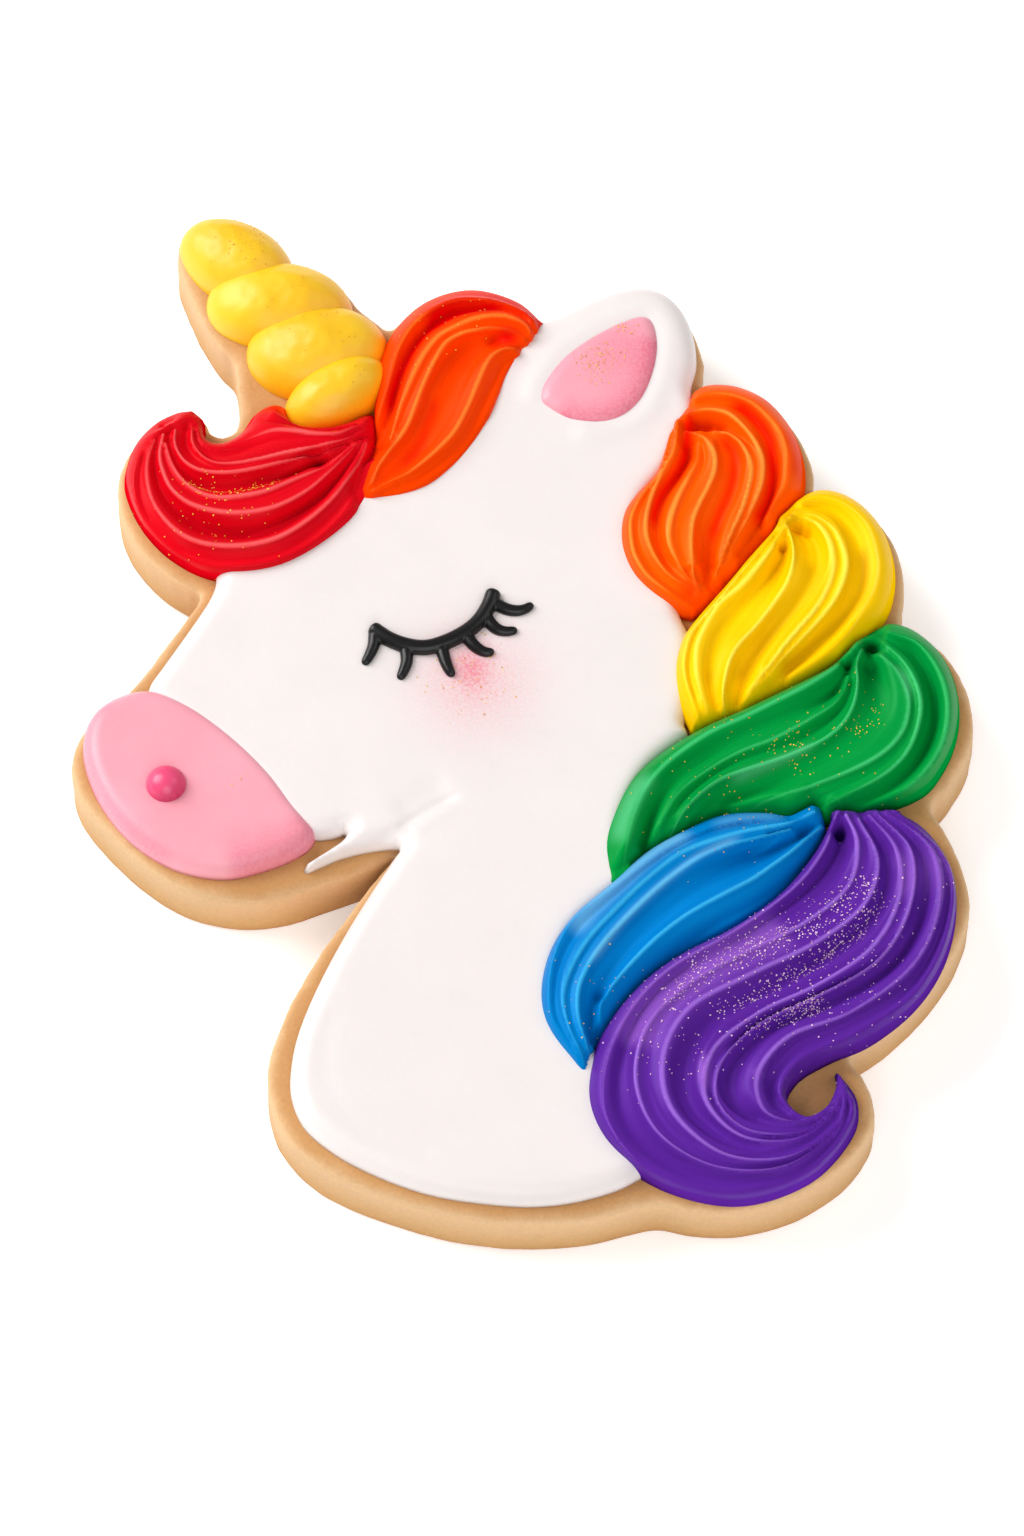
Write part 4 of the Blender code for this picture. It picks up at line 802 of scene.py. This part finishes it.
def flood(name, outline_points, low, high, round_over, crown, step=0.5, relief=(), **paint):
    """Flooded icing: a smooth crowned sheet that rounds down to its outline, with soft strokes of relief."""
    outline = closed_outline(outline_points, 0.35)
    rows = [*edge_rings(outline, FLOOD_RINGS), honeycomb(outline, step, FLOOD_CORE)]
    plan, gap, faces = sheet(outline, rows)
    rise = quarter(gap / round_over) ** 0.9
    z = low + rise * (high + crown * quarter(gap / CROWN_WIDE) + painted(plan, relief))
    amounts = {key: painted(plan, *values) for key, values in paint.items()}
    return mesh_piece(name, np.column_stack([plan, z]), faces, **amounts)


def inset(outline, inward, depth):
    """The outline moved inwards, point for point, drawn straight across corners too tight to follow."""
    ring = outline + inward * depth
    if depth < 0.3:
        return ring
    kept = np.flatnonzero(signed_distance(ring, outline) < -0.96 * depth)
    places = np.arange(len(ring))
    return np.column_stack([np.interp(places, kept, ring[kept, axis], period=len(ring)) for axis in (0, 1)])


def baked_biscuit():
    """The baked dough: a slab with a softly rounded top rim, a slightly uneven wall and a flat underside."""
    outline = closed_outline(BISCUIT, 0.33)
    inward = inward_normals(outline)
    shoulder = BISCUIT_TOP - TOP_ROUND
    # depth inside the outline and height of each ring, from the underside up
    wall = [(0.35, 0.0), (0.1, 0.12), (0.0, 0.35)]
    wall += [(0.0, height) for height in np.arange(0.65, shoulder, 0.3)]
    wall += [(1.25 * (1 - np.cos(turn)), shoulder + TOP_ROUND * np.sin(turn))
             for turn in np.linspace(0.15, np.pi / 2, 9)]
    count = len(outline)
    points = []
    for depth, height in wall:
        ring = np.column_stack([inset(outline, inward, depth), np.full(count, height)])
        shape = np.array([noise.fractal(Vector(point) / 5.0, 0.8, 2.0, 4) for point in ring])
        grain = np.array([noise.fractal(Vector(point) / 0.9 + Vector((9, 0, 0)), 0.7, 2.0, 2)
                          for point in ring])
        push = (0.09 * shape + 0.03 * grain) * min(1, height / 0.5) * (depth < 1)
        ring[:, :2] += inward * push[:, None]
        if 5 < height:
            ring[:, 2] -= 0.03 * (grain + 0.5) * (height < 6.69) + 0.015 * (grain + 1)
        points.append(ring)
    index, faces = stacked(len(wall), count)
    faces += filled(points[0][:, :2], index[0]) + filled(points[-1][:, :2], index[-1])
    return mesh_piece("baked_biscuit", np.concatenate(points), faces)


def bead(name, centre, half_length, half_width, turn, low, high, uneven, glitter=()):
    """A rounded drop of icing: an ellipsoid's upper half, with painted shade, a deeper colour, on its lower
    right.
    """
    around = np.linspace(0, 2 * np.pi, BEAD_AROUND, endpoint=False)
    up = np.linspace(0, np.pi / 2, BEAD_LEVELS + 1)[:-1]
    angle = np.radians(turn)
    x = half_length * np.outer(np.cos(up), np.cos(around))
    y = half_width * np.outer(np.cos(up), np.sin(around))
    z = high * np.repeat(np.sin(up)[:, None], BEAD_AROUND, axis=1)
    plan_x = centre[0] + x * np.cos(angle) - y * np.sin(angle)
    plan_y = centre[1] + x * np.sin(angle) + y * np.cos(angle)
    points = np.stack([plan_x, plan_y, low + z], axis=2).reshape(-1, 3)
    points = np.vstack([points, [[*centre, low + high]]])
    # set by hand: each a little lumpy, more so on top
    lumps = [0.3 * noise.noise(Vector(point) / 3.4) + 0.09 * noise.noise(Vector(point) / 1.1)
             for point in points]
    points[:, 2] += uneven * np.array(lumps) * (points[:, 2] - low) / high
    points[:, :2] += (points[:, :2] - centre) * uneven * 0.06 * np.array(
        [[noise.noise(Vector((x, y, 7)) / 4.5)] for x, y, _ in points])
    index, faces = stacked(BEAD_LEVELS, BEAD_AROUND)
    faces += [[*pair, len(points) - 1] for pair in zip(index[-1], np.roll(index[-1], -1))]
    faces += [index[0, ::-1].tolist()]
    # painted shade: the side turned away from the light, to the lower right and low down, takes the second
    # colour
    side = (0.5 * (points[:, 0] - centre[0]) - 0.87 * (points[:, 1] - centre[1])) / half_width
    tint = np.clip(side - 0.15, 0, 1) ** 1.5 * np.clip(1.25 - (points[:, 2] - low) / high, 0, 1)
    return mesh_piece(name, points, faces, tint=tint, glitter=painted(points, (), glitter))


def eyelash():
    """The closed eye: seven piped strokes that have run into one."""
    curve = bpy.data.curves.new("eyelash", "CURVE")
    curve.dimensions = "3D"
    curve.bevel_depth = MM
    curve.bevel_resolution = 6
    curve.use_fill_caps = True
    for number, path in enumerate(LASHES):
        places = np.linspace(0, 1, 12 * len(path))
        plan = along(path, places)
        ends = np.minimum(travelled(plan), travelled(plan)[-1] - travelled(plan))
        # the lid's stroke is thicker than the lashes, which thin out towards their tips
        size = 0.56 if number else 0.74
        radii = size * (0.35 + 0.65 * quarter(ends / 0.5))
        if number:
            radii *= 1.12 - 0.42 * places**1.5
        line = curve.splines.new("POLY")
        line.points.add(len(plan) - 1)
        height = BISCUIT_TOP + WHITE_HIGH + size * 0.42
        middle = in_place(np.column_stack([plan, np.full(len(plan), height)]))
        for point, place, radius in zip(line.points, middle, radii):
            point.co = (*place, 1)
            point.radius = radius
    tubes = add_object("eyelash_tubes", curve)
    piece = add_object("piped_eyelash", evaluated_mesh(tubes))
    bpy.data.objects.remove(tubes)
    melt = piece.modifiers.new("melt", "REMESH")
    melt.mode = "VOXEL"
    melt.voxel_size = 0.09 * MM
    melt.use_smooth_shade = True
    soften = piece.modifiers.new("soften", "SMOOTH")
    soften.factor = 0.5
    soften.iterations = 6
    return settle(piece)


def connect(node, inputs):
    """Give a node's inputs their values: each a constant, or the socket that feeds it."""
    for key, value in inputs.items():
        if isinstance(value, bpy.types.NodeSocket):
            node.id_data.links.new(value, node.inputs[key])
        else:
            node.inputs[key].default_value = value


def add_node(tree, kind, inputs=None, **settings):
    """A node with its settings and its inputs."""
    made = tree.nodes.new(kind)
    for key, value in settings.items():
        setattr(made, key, value)
    connect(made, inputs or {})
    return made


def flake_tree(bases, material):
    """Geometry Nodes that scatter six-sided flakes over pieces, as thickly as their glitter amount says."""
    tree = bpy.data.node_groups.new("glitter_flakes", "GeometryNodeTree")
    tree.interface.new_socket("Geometry", in_out="OUTPUT", socket_type="NodeSocketGeometry")
    for label in ("Flake radius", "Flake thickness", "Flakes per square metre"):
        tree.interface.new_socket(label, in_out="INPUT", socket_type="NodeSocketFloat")
    tree.interface.new_socket("Seed", in_out="INPUT", socket_type="NodeSocketInt")
    add = partial(add_node, tree)
    sizes = add("NodeGroupInput").outputs
    whole = add("GeometryNodeJoinGeometry")
    for base in bases:
        connect(whole, {"Geometry": add("GeometryNodeObjectInfo", {"Object": base}).outputs["Geometry"]})
    amount = add("GeometryNodeInputNamedAttribute", {"Name": "glitter"}, data_type="FLOAT")
    density = add("ShaderNodeMath", {0: amount.outputs["Attribute"], 1: sizes["Flakes per square metre"]},
                  operation="MULTIPLY")
    spots = add("GeometryNodeDistributePointsOnFaces", {
        "Mesh": whole.outputs["Geometry"], "Density": density.outputs["Value"], "Seed": sizes["Seed"]})
    # the flakes lie a little proud of the icing and never quite flat
    proud = add("ShaderNodeVectorMath", {0: spots.outputs["Normal"], "Scale": sizes["Flake thickness"]},
                operation="SCALE")
    raised = add("GeometryNodeSetPosition", {
        "Geometry": spots.outputs["Points"], "Offset": proud.outputs["Vector"]})
    lean = add("FunctionNodeRandomValue", {0: (-0.7, -0.7, -3.0), 1: (0.7, 0.7, 3.0), "Seed": sizes["Seed"]},
               data_type="FLOAT_VECTOR")
    turn = add("FunctionNodeEulerToRotation", {"Euler": lean.outputs["Value"]})
    turned = add("FunctionNodeRotateRotation", {
        "Rotation": spots.outputs["Rotation"], "Rotate By": turn.outputs["Rotation"]}, rotation_space="LOCAL")
    flake = add("GeometryNodeMeshCylinder", {
        "Vertices": 6, "Radius": sizes["Flake radius"], "Depth": sizes["Flake thickness"]})
    growth = add("FunctionNodeRandomValue", {2: 0.5, 3: 1.35, "Seed": sizes["Seed"]}, data_type="FLOAT")
    flakes = add("GeometryNodeInstanceOnPoints", {
        "Points": raised.outputs["Geometry"], "Instance": flake.outputs["Mesh"],
        "Rotation": turned.outputs["Rotation"], "Scale": growth.outputs[1]})
    real = add("GeometryNodeRealizeInstances", {"Geometry": flakes.outputs["Instances"]})
    coated = add("GeometryNodeSetMaterial", {"Geometry": real.outputs["Geometry"], "Material": material})
    add("NodeGroupOutput", {"Geometry": coated.outputs["Geometry"]})
    return tree


def glitter(name, bases, material, radius, density, seed):
    """Edible glitter shaken over the icing, every flake a real one."""
    piece = add_object(name, bpy.data.meshes.new(name))
    scatter = piece.modifiers.new("scatter", "NODES")
    scatter.node_group = flake_tree(bases, material)
    values = {"Flake radius": radius * MM, "Flake thickness": FLAKE_THICK * MM,
              "Flakes per square metre": density / MM**2, "Seed": seed}
    for socket in scatter.node_group.interface.items_tree:
        if socket.in_out == "INPUT":
            scatter[socket.identifier] = values[socket.name]
    return settle(piece)


def linear(code):
    """A hex sRGB colour as linear RGBA."""
    values = [int(code[i:i + 2], 16) / 255 for i in (1, 3, 5)]
    return (*[v / 12.92 if v <= 0.04045 else ((v + 0.055) / 1.055) ** 2.4 for v in values], 1.0)


def start_material(name, inputs):
    """A Principled material: itself, its shader with the inputs set, and what adds nodes to it."""
    material = bpy.data.materials.new(name)
    material.use_nodes = True
    shader = material.node_tree.nodes["Principled BSDF"]
    connect(shader, inputs)
    return material, shader, partial(add_node, material.node_tree)


def ramp(add, factor, stops):
    """The colour of a ramp over hex stops."""
    made = add("ShaderNodeValToRGB", {"Fac": factor})
    while len(made.color_ramp.elements) < len(stops):
        made.color_ramp.elements.new(0.5)
    for element, (place, code) in zip(made.color_ramp.elements, stops):
        element.position = place
        element.color = linear(code)
    return made.outputs["Color"]


def spread(add, value, low, high, to_low, to_high):
    """A value stretched from one span onto another."""
    return add("ShaderNodeMapRange", {"Value": value, "From Min": low, "From Max": high, "To Min": to_low,
                                      "To Max": to_high}).outputs["Result"]


def amount_of(add, name):
    """An amount that the piece carries at its points."""
    return add("ShaderNodeAttribute", attribute_name=name).outputs["Fac"]


def joined(add, first, second, operation="ADD", use_clamp=False):
    """Two values added or multiplied."""
    made = add("ShaderNodeMath", {0: first, 1: second}, operation=operation, use_clamp=use_clamp)
    return made.outputs["Value"]


def mixed(add, factor, base, second):
    """A second colour, given as a hex code, laid over the first."""
    return add("ShaderNodeMix", {"Factor": factor, "A": base, "B": linear(second)},
               data_type="RGBA").outputs["Result"]


def shaded(add, colour, pattern, darkest, brightest):
    """A colour made a little darker and brighter by a noise pattern."""
    shade = spread(add, pattern, 0.3, 0.7, darkest, brightest)
    return add("ShaderNodeVectorMath", {0: colour, 1: shade}, operation="MULTIPLY").outputs["Vector"]


def bumps(add, height, strength, depth):
    """The normal of a surface with bumps of a depth in millimetres."""
    made = add("ShaderNodeBump", {"Height": height, "Strength": strength, "Distance": depth * MM})
    return made.outputs["Normal"]


def lumps_of(add, size, detail=3.0):
    """Noise in space with lumps of about the given size in millimetres."""
    where = add("ShaderNodeTexCoord").outputs["Object"]
    made = add("ShaderNodeTexNoise", {"Vector": where, "Scale": 1 / MM / size, "Detail": detail,
                                      "Roughness": 0.55})
    return made.outputs["Fac"]


def piped_icing(name, valley_shade, body, light, second):
    """Buttery royal icing pushed through a star tip: satin, with fine drag lines along the strand, painted
    shade in its valleys and a painted highlight along its crests.
    """
    material, shader, add = start_material(name, {
        "Specular Tint": linear(light), "Coat Weight": 0.0, "Subsurface Weight": 0.08,
        "Subsurface Scale": MM})
    flow = add("ShaderNodeUVMap", uv_map="flow")
    # flow runs 1 unit for 100 mm; drag lines are about 0.4 mm apart and many millimetres long
    stretch = add("ShaderNodeMapping", {"Vector": flow.outputs["UV"], "Scale": (190.0, 8.0, 1.0)})
    lines = add("ShaderNodeTexNoise", {"Vector": stretch.outputs["Vector"], "Scale": 1.0, "Detail": 3.0,
                                       "Roughness": 0.6}).outputs["Fac"]
    # painted light: the valley colour is painted shade, the light colour a painted highlight along the crests
    tone = ramp(add, amount_of(add, "tone"), [(0.24, valley_shade), (0.6, body), (0.84, body), (1.0, light)])
    # the second colour: painted shade in the valleys of the orange and yellow lobes, painted sheen on the
    # green, blue and purple, the icing's own red and orange on the forelock
    colour = mixed(add, amount_of(add, "tint"), tone, second)
    # the valleys are shut off from the light, so they shine less; the crests were smoothed as they stretched
    crest = amount_of(add, "crest")
    connect(shader, {
        "Base Color": shaded(add, colour, lines, 0.9, 1.08),
        "Specular IOR Level": spread(add, crest, 0.4, 0.9, 0.0, 0.6),
        "Roughness": spread(add, crest, 0.6, 0.95, 0.42, 0.27),
        "Normal": bumps(add, lines, 0.35, 0.12),
    })
    return material


def smooth_icing(name, codes, second, roughness=0.4, subsurface=0.1, specular=0.45):
    """Flooded royal icing dried smooth: an eggshell sheen, with a second colour, dusted on the cheek and
    painted shade elsewhere.
    """
    material, shader, add = start_material(name, {
        "Roughness": roughness, "Specular IOR Level": specular, "Coat Weight": 0.06, "Coat Roughness": 0.3,
        "Subsurface Weight": subsurface, "Subsurface Scale": 1.5 * MM})
    base = ramp(add, lumps_of(add, 9.0), [(0.35, codes[0]), (0.65, codes[1])])
    # the edge of the dusted colour and of the painted shade breaks up into specks about 0.25 mm wide
    broken = spread(add, lumps_of(add, 0.28, detail=1.0), 0.35, 0.65, 0.7, 1.25)
    dust_and_shade = joined(add, amount_of(add, "tint"), broken, "MULTIPLY", use_clamp=True)
    connect(shader, {
        "Base Color": mixed(add, dust_and_shade, base, second),
        "Normal": bumps(add, lumps_of(add, 0.7, detail=2.0), 0.15, 0.1),
    })
    return material


def baked_dough():
    """Rolled sugar dough baked pale: matte, finely crumbed, browner at its lower edge; painted highlight on
    its rim, painted shade beside the icing.
    """
    material, shader, add = start_material("baked_sugar_dough", {
        "Roughness": 0.75, "Subsurface Weight": 0.06, "Subsurface Scale": MM})
    where = add("ShaderNodeTexCoord").outputs["Object"]
    up = add("ShaderNodeSeparateXYZ", {"Vector": where}).outputs["Z"]
    height = spread(add, up, 0.0, BISCUIT_TOP * MM, 0.0, 1.0)
    drift = joined(add, lumps_of(add, 5.0), 0.1, "MULTIPLY")
    tone = ramp(add, joined(add, height, joined(add, drift, -0.05)), DOUGH_TONES_AND_SHADING)
    crumb = lumps_of(add, 0.35, detail=2.0)
    connect(shader, {
        "Base Color": shaded(add, tone, crumb, 0.95, 1.05),
        "Normal": bumps(add, crumb, 0.35, 0.12),
    })
    return material


def flake_foil(name, bright, dark):
    """Edible glitter: foil flakes, each its own shade."""
    material, shader, add = start_material(name, {
        "Roughness": 0.55, "Metallic": 0.0, "Specular IOR Level": 0.2})
    connect(shader, {"Base Color": ramp(add, lumps_of(add, 0.2, detail=0.0), [(0.35, dark), (0.6, bright)])})
    return material


def finish_piece(piece, material, node=None):
    """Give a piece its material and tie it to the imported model."""
    piece.data.materials.clear()
    piece.data.materials.append(material)
    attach(piece, "root")
    if node:
        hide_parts(node)


# Baked dough from its underside to the icing: browner at the lower edge, paler up the rounded rim as painted
# highlight, darker on top as painted shade beside the icing
DOUGH_TONES_AND_SHADING = [(0.0, "#b27e4a"), (0.15, "#c8985c"), (0.6, "#d5ab7a"), (0.9, "#dcb485"), (0.99, "#c89258")]

# Relief of the white icing: the throat's crease and fold, a dip along the neck and the inner ear's pad
WHITE_RELIEF = [
    ([(-13.8, -14.4), (-11.6, -13), (-9.4, -11.4), (-7.2, -10), (-5.2, -9)], 0.42, -0.26),
    ([(-11.8, -11.6), (-9.8, -10.4), (-7.6, -8.9), (-6, -8)], 1.6, -0.2),
    ([(-10.4, -13.6), (-7.6, -11.4), (-5.2, -10.2)], 0.7, 0.08),
    ([(-16.5, -30), (-17.4, -35), (-16.6, -39), (-13.5, -42.5), (-7, -45)], 0.9, -0.05),
    ([(1.2, 30.2), (1.3, 33.2), (3.4, 36.6), (6.2, 38.8), (9, 40.4), (11.6, 41.2), (13.2, 40), (13.6, 37),
      (13, 33.6), (11.6, 30.2), (9.4, 28.4), (6.8, 27.8), (4, 28.2)], 1.1, 0.2),
]

# Second colours laid on: the cheek's blush, dusted on; painted shade on the muzzle's edges and round the
# nostril, and on the inner ear's right and lower edges
BLUSH = ([([(-6.8, 2.4), (-4.6, 3.6), (-2.2, 3.6)], 2.1, 0.32)],
         [(-4.2, 2.2, 5.4, 0.38), (-4.6, 3.2, 2.4, 0.14)])
# painted shade on the muzzle: its lower right edge, its lit left rim and round the nostril
MUZZLE_EDGE_SHADE = ([([(-20, -10.5), (-19.6, -13.4), (-23, -15.6), (-27, -16.4)], 2.4, 0.6),
                ([(-31, -16.2), (-36, -12), (-39, -7), (-39.2, -2.2), (-36.4, 1)], 0.9, 0.5)],
               [(-31.9, -8.4, 2.4, 0.35)])
# painted shade on the inner ear's lower and right edges and its right half
EAR_EDGE_SHADE = ([([(2.4, 30.4), (5, 29), (8, 29.2), (11, 31.6), (12.3, 35), (12.2, 38.6)], 1.7, 0.8)],
            [(9.4, 36, 3.6, 0.45)])

# Glitter spots on the horn's beads, from tip to root
BEAD_GLITTER = [
    [(-25.6, 47.4, 1.9, 4)],
    [(-19.5, 42.5, 3, 0.6)],
    [(-18, 39.5, 2.6, 1), (-15, 38, 1.6, 0.8)],
    [(-15.5, 34, 2, 0.6)],
]

pieces = {
    "biscuit": baked_biscuit(),
    "white_icing": flood("white_flood", WHITE, BISCUIT_TOP, WHITE_HIGH, 1.7, 0.15, step=0.35,
                         relief=WHITE_RELIEF, tint=BLUSH, glitter=([], [(-4.2, 3, 3.2, 1.6)])),
    "muzzle": flood("pink_muzzle", MUZZLE, BISCUIT_TOP, MUZZLE_HIGH, 1.5, 0.15, tint=MUZZLE_EDGE_SHADE,
                    glitter=([], [(-25, -8.5, 1.2, 0.6)])),
    "ear_inner": flood("pink_inner_ear", EAR, BISCUIT_TOP + WHITE_HIGH - SUNK, EAR_HIGH, 1.3, 0.1,
                       tint=EAR_EDGE_SHADE,
                       glitter=([([(4.8, 33.6), (6.8, 34.8), (9, 37.4)], 1.5, 6)], [(9.4, 38.6, 0.8, 7)])),
    "nostril": bead("nostril_drop", NOSTRIL, 1.87, 1.87, 0, BISCUIT_TOP + MUZZLE_HIGH - SUNK, 1.9, 0.3),
    "eyelash": eyelash(),
}
for number, (placed, spots) in enumerate(zip(HORN, BEAD_GLITTER), 1):
    pieces[f"horn_{number}"] = bead(f"horn_bead_{number}", *placed, BISCUIT_TOP - 0.1, HORN_HIGH, 1.0, spots)
for drawing in LOBES:
    pieces[drawing] = piped_lobe(f"piped_{drawing}", drawing)

MATERIALS = {
    "baked_dough": baked_dough(),
    "white_icing": smooth_icing("white_royal_icing", ("#e8e0dd", "#ebe3e1"), "#e88797"),
    # the pink's second colour is painted shade on the muzzle's and the inner ear's edges
    "pink_icing": smooth_icing("pink_royal_icing", ("#f2a0ae", "#f5a9b7"), "#e87a90"),
    # the nostril's second colour is painted shade on its lower right
    "deep_pink_icing": smooth_icing("deep_pink_royal_icing", ("#e84a78", "#f0557f"), "#c02050",
                                    roughness=0.3),
    "black_icing": smooth_icing("black_royal_icing", ("#0c0a0b", "#161314"), "#000000", roughness=0.35,
                                subsurface=0.0, specular=0.35),
    # the horn's second colour, orange, is painted shade on the beads' lower right
    "horn_yellow_icing": smooth_icing("horn_yellow_royal_icing", ("#f6be00", "#fccc14"), "#ff9e00",
                                      roughness=0.46, specular=0.6),
}
# Colour of each piped icing in its valleys (painted shade), in its body and along its crests (painted
# highlight), and its second colour
PIPED = {
    "red_icing": ("#90000e", "#dc0418", "#ff6466", "#ff2a00"),
    "forelock_orange_icing": ("#cc1c00", "#ff4200", "#ff8230", "#e20006"),
    "mane_orange_icing": ("#de3000", "#ff5a00", "#ff9a3c", "#f01400"),
    "mane_yellow_icing": ("#e6a400", "#ffca00", "#ffec50", "#cc9600"),
    "green_icing": ("#004417", "#00933c", "#40c070", "#6ad79a"),
    "blue_icing": ("#00428a", "#007cc6", "#38aee4", "#7cc4ec"),
    "purple_icing": ("#200850", "#5a2498", "#9a68d2", "#9e62cc"),
}
for slot, colours in PIPED.items():
    MATERIALS[slot] = piped_icing(slot.replace("_icing", "_piped_icing"), *colours)
for item in frame["record"]["subparts"]:
    finish_piece(pieces[item["node"]], MATERIALS[item["material_slot"]], item["node"])

GOLD_ON = ["white_icing", "muzzle", "ear_inner", "horn_1", "horn_2", "horn_3", "horn_4", "forelock_red",
           "forelock_orange", "mane_green", "mane_blue"]
gold_foil = flake_foil("gold_foil", "#ffd458", "#d4961c")
gold = glitter("gold_glitter", [pieces[node] for node in GOLD_ON], gold_foil, 0.062, 1.5, 4)
finish_piece(gold, gold_foil)
silver_foil = flake_foil("silver_pink_foil", "#ffdcf4", "#c486b8")
silver = glitter("silver_pink_glitter", [pieces["mane_purple"]], silver_foil, 0.07, 1.35, 9)
finish_piece(silver, silver_foil)

# Pale floor
floor_mesh = bpy.data.meshes.new("floor")
floor_mesh.from_pydata([(-3, -3, 0), (3, -3, 0), (3, 3, 0), (-3, 3, 0)], [], [(0, 1, 2, 3)])
floor = add_object("floor", floor_mesh)
floor_mesh.materials.append(start_material("pale_floor", {
    "Base Color": (0.95, 0.95, 0.95, 1), "Roughness": 0.9, "Emission Color": (1, 1, 1, 1),
    "Emission Strength": 0.36})[0])


def area_light(name, place, size, power):
    """A square soft light aimed at the cookie."""
    light = bpy.data.lights.new(name, "AREA")
    light.size = size
    light.energy = power
    lamp = add_object(name, light)
    lamp.location = place
    lamp.rotation_euler = (-Vector(place)).to_track_quat("-Z", "Y").to_euler()


area_light("key", (-0.8, 0.42, 0.7), 0.8, 14.2)
area_light("front_fill", (0.15, -0.95, 0.8), 1.0, 7.5)
area_light("right_fill", (0.9, 0.2, 0.9), 0.8, 2.6)
scene = bpy.context.scene
world = bpy.data.worlds.new("studio")
scene.world = world
world.use_nodes = True
connect(world.node_tree.nodes["Background"], {"Color": (1, 1, 1, 1), "Strength": 0.26})
scene.view_settings.view_transform = "Standard"

ELEVATION, DISTANCE = np.radians(63), 0.78
aim = in_place([(-0.9, -2.2, 0)])[0]
camera_data = bpy.data.cameras.new("camera")
camera_data.lens = 201.1
camera_data.sensor_width = 36
camera_data.clip_end = 10
camera = add_object("camera", camera_data)
camera.location = aim + DISTANCE * np.array([0, -np.cos(ELEVATION), np.sin(ELEVATION)])
camera.rotation_euler = (np.pi / 2 - ELEVATION, 0, 0)
scene.camera = camera
